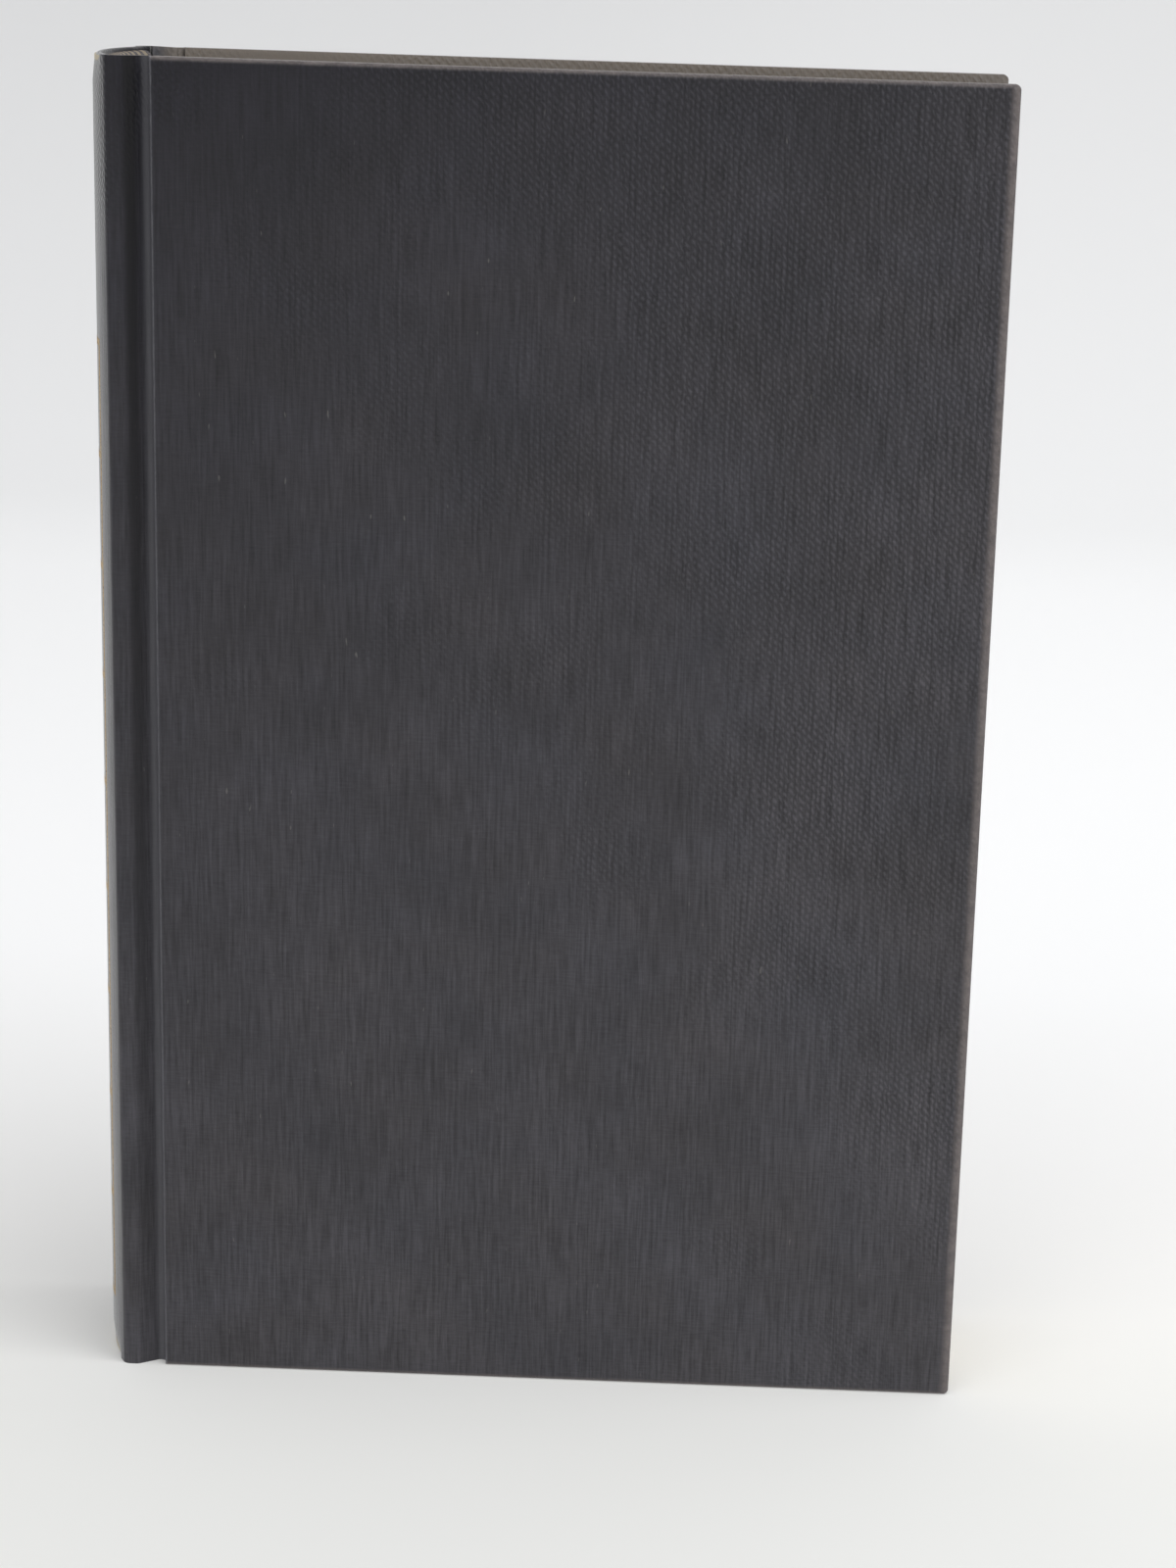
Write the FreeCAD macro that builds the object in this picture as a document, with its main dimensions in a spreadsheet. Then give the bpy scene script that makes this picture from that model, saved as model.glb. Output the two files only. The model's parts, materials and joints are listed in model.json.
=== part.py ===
import FreeCAD, Part
import math
import os
import Sketcher
from FreeCAD import Vector

# Hardback book, closed, standing on its tail.
# Millimetres. X runs from the spine to the fore-edge, Y from the front cover to the back cover, Z up.
# Every outline is drawn with X = 0 at the joint edge of the boards, and each piece is then placed so
# that the origin is the middle of the footprint.

os.makedirs("parts", exist_ok=True)
doc = FreeCAD.newDocument("hardback_book")

# Driving dimensions
SIZES = (
    ("cover_tall", 222.0, "height of a covered board"),
    ("cover_wide", 137.0, "covered board, from its joint edge to its fore-edge"),
    ("book_thick", 37.0, "overall, across both covers"),
    ("spine_rise", 4.8, "how far the round spine stands out past the shoulders"),
    ("joint_wide", 6.85, "from the joint edge of a board to the corner of the shoulder"),
    ("joint_deep", 2.5, "depth of the groove below the face of the cover"),
    ("valley_round", 1.0, "radius at the bottom of the groove"),
    ("shoulder_round", 1.4, "radius of the shoulder, on both sides of its ridge"),
    ("ridge_flat", 1.0, "flat top of the shoulder, where the cover bends"),
    ("ridge_drop", 0.2, "how far the ridge lies below the face of the cover"),
    ("hinge_slit", 0.3, "slit between the cloth of a cover and that of the spine"),
    ("cloth", 0.35, "thickness of the book cloth"),
    ("board", 2.5, "thickness of the greyboard"),
    ("edge_round", 0.85, "radius of the cloth over an edge of a board"),
    ("turn_in", 15.0, "width of the cloth folded inside"),
    ("square", 3.0, "how far a cover stands past the pages"),
    ("pastedown", 0.15, "thickness of the paper glued inside a cover"),
    ("paste_margin", 4.0, "from the edge of a cover to its pastedown"),
    ("paste_joint", 0.6, "from the joint edge of a board to its pastedown"),
    ("paste_slack", 0.1, "from the edge of a turn-in to the sunk part of the pastedown"),
    ("flyleaf", 0.15, "thickness of a free endpaper"),
    ("leaf_start", 1.5, "how far a flyleaf runs into the joint"),
    ("cover_gap", 0.2, "air between a closed cover and its flyleaf"),
    ("shoulder_inset", 1.75, "from the face of the cover to the corner of the page block"),
    ("shoulder_foot", 1.9, "from the joint edge of a board back to the foot of the block's shoulder"),
    ("inlay", 0.5, "thickness of the card inside the spine"),
    ("inlay_inset", 2.5, "from the face of the cover to the edge of the spine card"),
    ("hollow", 0.6, "air behind the spine card"),
    ("glue", 0.05, "thickness of the glue on the back of the pages"),
    ("mull", 0.15, "thickness of the gauze on the back of the pages"),
    ("mull_short", 17.0, "from the end of the page block to the gauze"),
    ("mull_flap", 25.0, "width of the gauze on a board"),
    ("lining", 0.25, "thickness of the paper over the gauze"),
    ("lining_short", 11.0, "from the end of the page block to the lining"),
    ("lining_inset", 3.0, "from the face of the cover to the edge of the lining"),
    ("band_bead", 2.4, "thickness of a headband's bead"),
    ("band_tape", 0.35, "thickness of a headband's tape"),
    ("band_hang", 9.0, "how far the tape hangs down the back"),
    ("band_inset", 1.0, "from the side of the page block to the end of a headband"),
)
sheet = doc.addObject("Spreadsheet::Sheet", "sizes")
for row, (alias, number, note) in enumerate(SIZES, start=1):
    sheet.set(f"A{row}", note)
    sheet.set(f"B{row}", str(number))
    sheet.setAlias(f"B{row}", alias)
doc.recompute()

# Worked-out sizes, each an expression on the sheet
HALF = "(sizes.book_thick / 2)"
ROUND = f"(({HALF} ^ 2 + sizes.spine_rise ^ 2) / (2 * sizes.spine_rise))"
CENTRE = f"({ROUND} - sizes.spine_rise - sizes.joint_wide)"
SPINE_STACK = "(2 * sizes.cloth + sizes.inlay + sizes.hollow + sizes.lining + sizes.mull + sizes.glue)"
BACK = f"({ROUND} - {SPINE_STACK})"
GLUED = f"({BACK} + sizes.glue)"
COVER_STACK = "(2 * sizes.cloth + sizes.board)"
LEAF_FACE = f"({HALF} - {COVER_STACK} - sizes.pastedown - sizes.cover_gap)"
BLOCK_HALF = f"({LEAF_FACE} - sizes.flyleaf)"
BLOCK_TALL = "(sizes.cover_tall - 2 * sizes.square)"
FORE_EDGE = "(sizes.cover_wide - sizes.square)"
SHOULDER_HALF = f"({HALF} - sizes.shoulder_inset)"
FOOTPRINT_X = "((sizes.spine_rise + sizes.joint_wide - sizes.cover_wide) / 2)"
TURN_TOP = "(sizes.cover_tall - sizes.turn_in)"

FRONT = -1
REAR = 1
PLANES = {"XY": "XY_Plane", "XZ": "XZ_Plane"}


def measure(expression):
    """The value of an expression on the sheet, as a plain number."""
    value = sheet.evalExpression(expression)
    return float(getattr(value, "Value", value))


def new_body(name, label):
    """An empty body, placed so that the book's footprint is centred on the origin."""
    body = doc.addObject("PartDesign::Body", name)
    body.Label = label
    body.setExpression("Placement.Base.x", FOOTPRINT_X)
    return body


def new_sketch(body, name, plane, level="0", across="0"):
    """A sketch on one of the body's own planes, moved off it by level, and sideways by across."""
    sketch = body.newObject("Sketcher::SketchObject", name)
    role = PLANES[plane]
    support = [item for item in body.Origin.OriginFeatures if item.Role == role][0]
    sketch.AttachmentSupport = [(support, "")]
    sketch.MapMode = "FlatFace"
    sketch.setExpression("AttachmentOffset.Base.z", level)
    sketch.setExpression("AttachmentOffset.Base.x", across)
    return sketch


def bind(sketch, constraint, expression):
    """Add a constraint whose size follows an expression on the sheet."""
    index = sketch.addConstraint(constraint)
    sketch.setExpression(f"Constraints[{index}]", expression)


def bind_x(sketch, line, end, expression):
    constraint = Sketcher.Constraint("DistanceX", -1, 1, line, end, measure(expression))
    bind(sketch, constraint, expression)


def bind_y(sketch, line, end, expression):
    constraint = Sketcher.Constraint("DistanceY", -1, 1, line, end, measure(expression))
    bind(sketch, constraint, expression)


def draw(sketch, pieces):
    """Draw a closed outline: two points make a line, three points an arc through the middle one."""
    count = len(pieces)
    ends = []
    for piece in pieces:
        points = [Vector(x, y, 0) for x, y in piece]
        if len(points) == 2:
            sketch.addGeometry(Part.LineSegment(*points), False)
            ends.append((1, 2))
        else:
            circle = Part.Circle(*points)
            turning = (points[1] - points[0]).cross(points[2] - points[1]).z
            first, last = (points[0], points[2]) if turning > 0 else (points[2], points[0])
            middle = circle.Center
            angles = [math.atan2(end.y - middle.y, end.x - middle.x) for end in (first, last)]
            if angles[1] < angles[0]:
                angles[1] += 2 * math.pi
            upright = Part.Circle(middle, Vector(0, 0, 1), circle.Radius)
            sketch.addGeometry(Part.ArcOfCircle(upright, *angles), False)
            ends.append((1, 2) if turning > 0 else (2, 1))
    for index in range(count):
        following = (index + 1) % count
        sketch.addConstraint(
            Sketcher.Constraint("Coincident", index, ends[index][1], following, ends[following][0])
        )
    return ends


def draw_rectangle(sketch, left, bottom, right, top):
    """A rectangle whose four sides follow four expressions."""
    x0, y0, x1, y1 = (measure(side) for side in (left, bottom, right, top))
    corners = ((x0, y0), (x1, y0), (x1, y1), (x0, y1))
    draw(sketch, [(corners[index], corners[(index + 1) % 4]) for index in range(4)])
    for line, way in enumerate(("Horizontal", "Vertical", "Horizontal", "Vertical")):
        sketch.addConstraint(Sketcher.Constraint(way, line))
    bind_x(sketch, 0, 1, left)
    bind_y(sketch, 0, 1, bottom)
    bind_x(sketch, 2, 1, right)
    bind_y(sketch, 2, 1, top)


def draw_band(sketch, inner, outer, half):
    """A curved strip round the centre of the spine, between two radii and two edges at +-half."""
    centre_x, small, large, edge = (measure(text) for text in (CENTRE, inner, outer, half))
    edge_small = edge * small / large
    far = (centre_x - math.sqrt(large ** 2 - edge ** 2), edge)
    near = (centre_x - math.sqrt(small ** 2 - edge_small ** 2), edge_small)
    draw(sketch, [
        ((far[0], far[1]), (centre_x - large, 0), (far[0], -far[1])),
        ((far[0], -far[1]), (near[0], -near[1])),
        ((near[0], -near[1]), (centre_x - small, 0), (near[0], near[1])),
        ((near[0], near[1]), (far[0], far[1])),
    ])
    bind(sketch, Sketcher.Constraint("Radius", 0, large), outer)
    bind(sketch, Sketcher.Constraint("Radius", 2, small), inner)
    sketch.addConstraint(Sketcher.Constraint("Coincident", 0, 3, 2, 3))
    sketch.addConstraint(Sketcher.Constraint("PointOnObject", 0, 3, -1))
    bind_x(sketch, 0, 3, CENTRE)
    bind_y(sketch, 1, 1, f"-{half}")
    bind_y(sketch, 3, 2, half)
    bind_y(sketch, 1, 2, f"-{half} * {inner} / {outer}")
    bind_y(sketch, 3, 1, f"{half} * {inner} / {outer}")


def pad(body, sketch, name, length, backwards=False):
    """Extrude a sketch, along its normal or against it."""
    feature = body.newObject("PartDesign::Pad", name)
    feature.Profile = sketch
    feature.setExpression("Length", length)
    feature.Reversed = backwards
    doc.recompute()
    return feature


def pocket(body, sketch, name, length, backwards=False):
    """Cut a sketch out of the body, and make sure that it does cut."""
    before = body.Shape.Volume
    feature = body.newObject("PartDesign::Pocket", name)
    feature.Profile = sketch
    feature.setExpression("Length", length)
    feature.Reversed = backwards
    doc.recompute()
    if body.Shape.Volume >= before:
        raise ValueError(f"{name} cuts nothing")
    return feature


def round_edges(body, base, name, radius, wanted):
    """Fillet each edge of the base that passes the test."""
    chosen = [f"Edge{index}" for index, edge in enumerate(base.Shape.Edges, start=1) if wanted(edge)]
    feature = body.newObject("PartDesign::Fillet", name)
    feature.Base = (base, chosen)
    feature.setExpression("Radius", radius)
    doc.recompute()


def near(first, second):
    return abs(first - second) < 0.001


# Shoulder and groove, worked out once for both sides, in X and in depth below the face of the cover

shoulder_round = measure("sizes.shoulder_round")
valley_round = measure("sizes.valley_round")
ridge_drop = measure("sizes.ridge_drop")
cloth = measure("sizes.cloth")
spine_radius = measure(ROUND)
spine_centre = measure(CENTRE)
half_thick = measure(HALF)
shoulder_depth = ridge_drop + shoulder_round
shoulder_reach = math.sqrt(
    (spine_radius - shoulder_round) ** 2 - (half_thick - shoulder_depth) ** 2
)
shoulder_x = spine_centre - shoulder_reach
ridge_end = shoulder_x + measure("sizes.ridge_flat")
hinge_x = shoulder_x + measure("sizes.ridge_flat") / 2
slit_half = measure("sizes.hinge_slit") / 2
valley_depth = measure("sizes.joint_deep") - valley_round

# The slope of the groove touches the ridge's round on one side and the valley's on the other.
reach_x = -valley_round - ridge_end
reach_depth = valley_depth - shoulder_depth
reach = math.hypot(reach_x, reach_depth)
slope = math.atan2(reach_depth, reach_x) + math.asin((shoulder_round + valley_round) / reach)


def on_circle(x, depth, radius, angle):
    """A point on a round, with the angle counted from the outward direction towards the fore-edge."""
    return (x + radius * math.sin(angle), depth - radius * math.cos(angle))


def groove_line(inset):
    """The cloth's surface from the slit to the bottom of the groove, at an inset from its outer face."""
    ridge = shoulder_round - inset
    valley = valley_round + inset
    start = (hinge_x + slit_half, ridge_drop + inset)
    crest = (ridge_end, ridge_drop + inset)
    falling = on_circle(ridge_end, shoulder_depth, ridge, slope)
    foot = on_circle(-valley_round, valley_depth, -valley, slope)
    bottom = (-valley_round, valley_depth + valley)
    return [
        (start, crest),
        (crest, on_circle(ridge_end, shoulder_depth, ridge, slope / 2), falling),
        (falling, foot),
        (foot, on_circle(-valley_round, valley_depth, -valley, slope / 2), bottom),
    ]


def backwards(pieces):
    """The same pieces of an outline, drawn the other way."""
    return [tuple(reversed(piece)) for piece in reversed(pieces)]


def on_side(pieces, side):
    """Turn depth below the face of a cover into Y, on the front or the rear side."""
    return [tuple((x, side * (half_thick - depth)) for x, depth in piece) for piece in pieces]


# Page block: rounded and backed at the spine, with the same round hollowed into its fore-edge

def build_text_block():
    body = new_body("TextBlock", "text_block")
    sketch = new_sketch(body, "BlockOutline", "XY", "sizes.square")
    half = measure(BLOCK_HALF)
    shoulder = measure(SHOULDER_HALF)
    back = measure(BACK)
    foot = -measure("sizes.shoulder_foot")
    fore = measure(FORE_EDGE)
    corner = spine_centre - math.sqrt(back ** 2 - shoulder ** 2)
    hollow = back - math.sqrt(back ** 2 - half ** 2)
    draw(sketch, [
        ((corner, shoulder), (spine_centre - back, 0), (corner, -shoulder)),
        ((corner, -shoulder), (foot, -half)),
        ((foot, -half), (fore, -half)),
        ((fore, -half), (fore - hollow, 0), (fore, half)),
        ((fore, half), (foot, half)),
        ((foot, half), (corner, shoulder)),
    ])
    bind(sketch, Sketcher.Constraint("Radius", 0, back), BACK)
    bind(sketch, Sketcher.Constraint("Radius", 3, back), BACK)
    sketch.addConstraint(Sketcher.Constraint("PointOnObject", 0, 3, -1))
    bind_x(sketch, 0, 3, CENTRE)
    bind_y(sketch, 1, 1, f"-{SHOULDER_HALF}")
    bind_y(sketch, 5, 2, SHOULDER_HALF)
    for line, sign in ((2, "-"), (4, "")):
        sketch.addConstraint(Sketcher.Constraint("Horizontal", line))
        bind_y(sketch, line, 1, f"{sign}{BLOCK_HALF}")
    bind_x(sketch, 2, 1, "-sizes.shoulder_foot")
    bind_x(sketch, 4, 2, "-sizes.shoulder_foot")
    bind_x(sketch, 2, 2, FORE_EDGE)
    bind_x(sketch, 4, 1, FORE_EDGE)
    pad(body, sketch, "BlockPad", BLOCK_TALL)
    return body


# Free endpapers, one on each side of the page block

def build_flyleaf(side, label):
    body = new_body(f"Flyleaf{label.split('_')[0].title()}", label)
    sketch = new_sketch(body, f"{body.Name}Outline", "XZ", f"{-side} * {BLOCK_HALF}")
    top = f"sizes.square + {BLOCK_TALL}"
    draw_rectangle(sketch, "-sizes.leaf_start", "sizes.square", FORE_EDGE, top)
    pad(body, sketch, f"{body.Name}Pad", "sizes.flyleaf", side == REAR)
    return body


# Greyboards, with the edges of their outer faces eased

def build_board(side, label):
    body = new_body(f"Board{label.split('_')[0].title()}", label)
    sketch = new_sketch(body, f"{body.Name}Outline", "XZ", f"{-side} * ({HALF} - sizes.cloth)")
    right = "sizes.cover_wide - sizes.cloth"
    top = "sizes.cover_tall - sizes.cloth"
    draw_rectangle(sketch, "sizes.cloth", "sizes.cloth", right, top)
    slab = pad(body, sketch, f"{body.Name}Pad", "sizes.board", side == FRONT)
    face = side * measure(f"{HALF} - sizes.cloth")
    round_edges(
        body, slab, f"{body.Name}Eased", "sizes.edge_round - sizes.cloth",
        lambda edge: all(near(vertex.Point.y, face) for vertex in edge.Vertexes),
    )
    return body


# Cloth of a cover: over the board, folded in at head, tail and fore-edge, and down into the groove

def build_cover_cloth(side, board, label):
    title = label.split("_")[0].title()
    wrap = new_body(f"Wrap{title}", f"{label}_blank")
    sketch = new_sketch(wrap, f"{wrap.Name}Outline", "XY")
    wide = measure("sizes.cover_wide")
    deep = measure(COVER_STACK)
    outer = groove_line(0)
    inner = groove_line(cloth)
    lip = (0, valley_depth)
    hem = (cloth, valley_depth)
    turn = math.radians(-135)
    outline = outer + [
        (outer[-1][-1], on_circle(-valley_round, valley_depth, valley_round, -turn), lip),
        (lip, (0, 0)),
        ((0, 0), (wide, 0)),
        ((wide, 0), (wide, deep)),
        ((wide, deep), (cloth, deep)),
        ((cloth, deep), hem),
        (hem, on_circle(-valley_round, valley_depth, valley_round + cloth, -turn), inner[-1][-1]),
    ] + backwards(inner) + [(inner[0][0], outer[0][0])]
    draw(sketch, on_side(outline, side))
    bind(sketch, Sketcher.Constraint("Radius", 1, shoulder_round), "sizes.shoulder_round")
    bind(sketch, Sketcher.Constraint("Radius", 3, valley_round), "sizes.valley_round")
    bind(sketch, Sketcher.Constraint("Radius", 4, valley_round), "sizes.valley_round")
    bind_x(sketch, 7, 1, "sizes.cover_wide")
    bind_x(sketch, 7, 2, "sizes.cover_wide")
    blank = pad(wrap, sketch, f"{wrap.Name}Pad", "sizes.cover_tall")
    face = side * half_thick

    def eased(edge):
        """The edges of the outer face, and the two at the corners of the fore-edge that run inwards."""
        ends = [vertex.Point for vertex in edge.Vertexes]
        on_face = all(near(point.y, face) for point in ends)
        at_corner = all(near(point.x, wide) for point in ends) and near(ends[0].z, ends[-1].z)
        return on_face or at_corner

    round_edges(wrap, blank, f"{wrap.Name}Eased", "sizes.edge_round", eased)

    # The folded-in cloth leaves the middle of the board bare, right up to the joint edge.
    window = new_sketch(wrap, f"{wrap.Name}Window", "XZ", f"{-side} * ({HALF} - {COVER_STACK})")
    right = "sizes.cover_wide - sizes.turn_in"
    draw_rectangle(window, "sizes.cloth", "sizes.turn_in", right, TURN_TOP)
    pocket(wrap, window, f"{wrap.Name}Bare", "sizes.cloth", side == FRONT)

    # In the groove the cloth is double where it is folded in at the tail and the head.
    doubled = groove_line(cloth) + [(groove_line(cloth)[-1][-1], groove_line(2 * cloth)[-1][-1])]
    doubled += backwards(groove_line(2 * cloth)) + [(groove_line(2 * cloth)[0][0], groove_line(cloth)[0][0])]
    for end, level in (("Tail", "0"), ("Head", TURN_TOP)):
        hem_sketch = new_sketch(wrap, f"{wrap.Name}{end}Hem", "XY", level)
        draw(hem_sketch, on_side(doubled, side))
        pad(wrap, hem_sketch, f"{wrap.Name}{end}Fold", "sizes.turn_in")

    cover = doc.addObject("Part::Cut", f"CoverCloth{title}")
    cover.Label = label
    cover.Base = wrap
    cover.Tool = board
    return cover


# Cloth of the spine: over the round, down both shoulders, and folded in over the card at both ends

def build_spine_cloth():
    body = new_body("SpineCloth", "spine_cloth")
    sketch = new_sketch(body, "SpineOutline", "XY")

    def skin(inset):
        """The surface from the front slit to the rear slit, at an inset from the outer face."""
        turn = math.atan2(half_thick - shoulder_depth, shoulder_reach)
        small = shoulder_round - inset
        large = spine_radius - inset
        corner_y = half_thick - shoulder_depth
        slit = (hinge_x - slit_half, -half_thick + ridge_drop + inset)
        crest = (shoulder_x, slit[1])
        halfway = math.pi / 4 + turn / 2
        middle = (shoulder_x - small * math.cos(halfway), -corner_y - small * math.sin(halfway))
        joined = (spine_centre - large * math.cos(turn), -large * math.sin(turn))
        front = [(slit, crest), (crest, middle, joined)]
        rear = [tuple((x, -y) for x, y in piece) for piece in backwards(front)]
        return front + [(joined, (spine_centre - large, 0), (joined[0], -joined[1]))] + rear

    outer = skin(0)
    inner = skin(cloth)
    outline = outer + [(outer[-1][-1], inner[-1][-1])] + backwards(inner) + [(inner[0][0], outer[0][0])]
    draw(sketch, outline)
    bind(sketch, Sketcher.Constraint("Radius", 2, spine_radius), ROUND)
    bind(sketch, Sketcher.Constraint("Radius", 8, spine_radius - cloth), f"{ROUND} - sizes.cloth")
    for arc in (1, 3):
        bind(sketch, Sketcher.Constraint("Radius", arc, shoulder_round), "sizes.shoulder_round")
    for arc in (7, 9):
        radius = "sizes.shoulder_round - sizes.cloth"
        bind(sketch, Sketcher.Constraint("Radius", arc, measure(radius)), radius)
    pad(body, sketch, "SpinePad", "sizes.cover_tall")

    card_face = f"({ROUND} - sizes.cloth - sizes.inlay)"
    card_half = f"({HALF} - sizes.inlay_inset)"
    for end, fold_level, hem_level in (
        ("Tail", "0", "0"),
        ("Head", "sizes.cover_tall - sizes.cloth", TURN_TOP),
    ):
        fold = new_sketch(body, f"Spine{end}FoldOutline", "XY", fold_level)
        draw_band(fold, f"({card_face} - sizes.cloth)", f"({ROUND} - sizes.cloth)", card_half)
        pad(body, fold, f"Spine{end}Fold", "sizes.cloth")
        hem = new_sketch(body, f"Spine{end}HemOutline", "XY", hem_level)
        draw_band(hem, f"({card_face} - sizes.cloth)", card_face, card_half)
        pad(body, hem, f"Spine{end}Hem", "sizes.turn_in")
    return body


def build_band(name, label, level, tall, inner, outer, half):
    """A curved sheet that follows the round of the spine."""
    body = new_body(name, label)
    sketch = new_sketch(body, f"{name}Outline", "XY", level)
    draw_band(sketch, inner, outer, half)
    pad(body, sketch, f"{name}Pad", tall)
    return body


# Pastedown: it lies on the folded-in cloth and sinks towards the bare board inside it

def build_pastedown(side, label):
    body = new_body(f"Pastedown{label.split('_')[0].title()}", label)
    name = body.Name
    face = f"({HALF} - {COVER_STACK} - sizes.pastedown)"
    outline = new_sketch(body, f"{name}Outline", "XZ", f"{-side} * {face}")
    right = "sizes.cover_wide - sizes.paste_margin"
    top = "sizes.cover_tall - sizes.paste_margin"
    draw_rectangle(outline, "sizes.paste_joint", "sizes.paste_margin", right, top)
    pad(body, outline, f"{name}Sheet", "sizes.pastedown", side == REAR)

    inner_right = "sizes.cover_wide - sizes.turn_in - sizes.paste_slack"
    inner_bottom = "sizes.turn_in + sizes.paste_slack"
    inner_top = f"{TURN_TOP} - sizes.paste_slack"
    well = new_sketch(body, f"{name}Well", "XZ", f"{-side} * {face}")
    draw_rectangle(well, "sizes.paste_joint", inner_bottom, inner_right, inner_top)
    pad(body, well, f"{name}Sunk", "sizes.pastedown + sizes.cloth - sizes.mull", side == REAR)
    floor = new_sketch(body, f"{name}Floor", "XZ", f"{-side} * {face}")
    wall = "sizes.pastedown"
    draw_rectangle(
        floor, "sizes.paste_joint", f"{inner_bottom} + {wall}",
        f"{inner_right} - {wall}", f"{inner_top} - {wall}",
    )
    pocket(body, floor, f"{name}Recess", "sizes.cloth - sizes.mull", side == FRONT)
    return body


# Flap of the gauze on a board, under the pastedown

def build_mull_flap(side, label):
    body = new_body(f"MullFlap{label.split('_')[0].title()}", label)
    sketch = new_sketch(body, f"{body.Name}Outline", "XZ", f"{-side} * ({HALF} - sizes.cloth - sizes.board)")
    bottom = "(sizes.square + sizes.mull_short)"
    draw_rectangle(sketch, "sizes.paste_joint", bottom, "sizes.mull_flap", f"sizes.cover_tall - {bottom}")
    pad(body, sketch, f"{body.Name}Pad", "sizes.mull", side == FRONT)
    return body


# Headband: a bead on the end of the page block, and a tape glued down its back

def build_headband(name, label, upwards):
    body = new_body(name, label)
    sketch = new_sketch(body, f"{name}Outline", "XZ", "0", CENTRE)
    back = measure(GLUED)
    tape = measure("sizes.band_tape")
    bead = measure("sizes.band_bead") / 2
    hang = measure("sizes.band_hang")
    end = measure(f"sizes.square + {BLOCK_TALL}") if upwards else measure("sizes.square")
    way = 1 if upwards else -1
    outside = -(back + tape)
    inside = outside + 2 * bead
    seat = 0.3 * bead
    draw(sketch, [
        ((outside, end - way * hang), (outside, end + way * bead)),
        ((outside, end + way * bead), (outside + bead, end + way * 2 * bead), (inside, end + way * bead)),
        ((inside, end + way * bead), (inside - seat, end)),
        ((inside - seat, end), (-back, end)),
        ((-back, end), (-back, end - way * hang)),
        ((-back, end - way * hang), (outside, end - way * hang)),
    ])
    bind(sketch, Sketcher.Constraint("Radius", 1, bead), "sizes.band_bead / 2")
    bind_x(sketch, 4, 1, f"-{GLUED}")
    bind_x(sketch, 4, 2, f"-{GLUED}")
    bind_x(sketch, 0, 1, f"-{GLUED} - sizes.band_tape")
    revolved = body.newObject("PartDesign::Revolution", f"{name}Round")
    revolved.Profile = sketch
    revolved.ReferenceAxis = (sketch, ["V_Axis"])
    revolved.Midplane = True
    revolved.setExpression("Angle", f"2 * asin(({BLOCK_HALF} - sizes.band_inset) / {BACK})")
    doc.recompute()
    return body


front_board = build_board(FRONT, "front_board")
back_board = build_board(REAR, "back_board")
card = f"({ROUND} - sizes.cloth)"
gauze = f"({GLUED} + sizes.mull)"
gauze_low = "(sizes.square + sizes.mull_short)"
paper_low = "(sizes.square + sizes.lining_short)"
PIECES = [
    build_text_block(),
    build_flyleaf(FRONT, "front_flyleaf"),
    build_flyleaf(REAR, "back_flyleaf"),
    front_board,
    back_board,
    build_cover_cloth(FRONT, front_board, "front_cover_cloth"),
    build_cover_cloth(REAR, back_board, "back_cover_cloth"),
    build_spine_cloth(),
    build_band(
        "SpineCard", "spine_card", "sizes.cloth", "sizes.cover_tall - 2 * sizes.cloth",
        f"({card} - sizes.inlay)", card, f"({HALF} - sizes.inlay_inset)",
    ),
    build_band(
        "SpineMull", "spine_mull", gauze_low, f"sizes.cover_tall - 2 * {gauze_low}",
        GLUED, gauze, f"({SHOULDER_HALF} - sizes.band_inset)",
    ),
    build_band(
        "SpineLining", "spine_lining", paper_low, f"sizes.cover_tall - 2 * {paper_low}",
        gauze, f"({gauze} + sizes.lining)", f"({HALF} - sizes.lining_inset)",
    ),
    build_headband("HeadBand", "head_band", True),
    build_headband("TailBand", "tail_band", False),
    build_pastedown(FRONT, "front_pastedown"),
    build_pastedown(REAR, "back_pastedown"),
    build_mull_flap(FRONT, "front_mull_flap"),
    build_mull_flap(REAR, "back_mull_flap"),
]
doc.recompute()

for item in doc.Objects:
    if "Invalid" in item.State or "Error" in item.State:
        raise ValueError(f"{item.Name} failed: {item.State}")
for piece in PIECES:
    shape = piece.Shape
    if shape.isNull() or not shape.isValid() or len(shape.Solids) != 1:
        raise ValueError(f"{piece.Label} is not one valid solid")
for piece in PIECES:
    piece.Shape.exportStep(os.path.join("parts", f"{piece.Label}.step"))
    box = piece.Shape.BoundBox
    print(piece.Label, round(piece.Shape.Volume, 1), [round(value, 3) for value in (
        box.XMin, box.YMin, box.ZMin, box.XMax, box.YMax, box.ZMax)])
print("hinge", round(hinge_x + measure(FOOTPRINT_X), 4), round(half_thick - ridge_drop, 4))
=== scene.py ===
import bmesh
import bpy
import json
import math
from mathutils import Euler, Matrix, Vector


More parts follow.
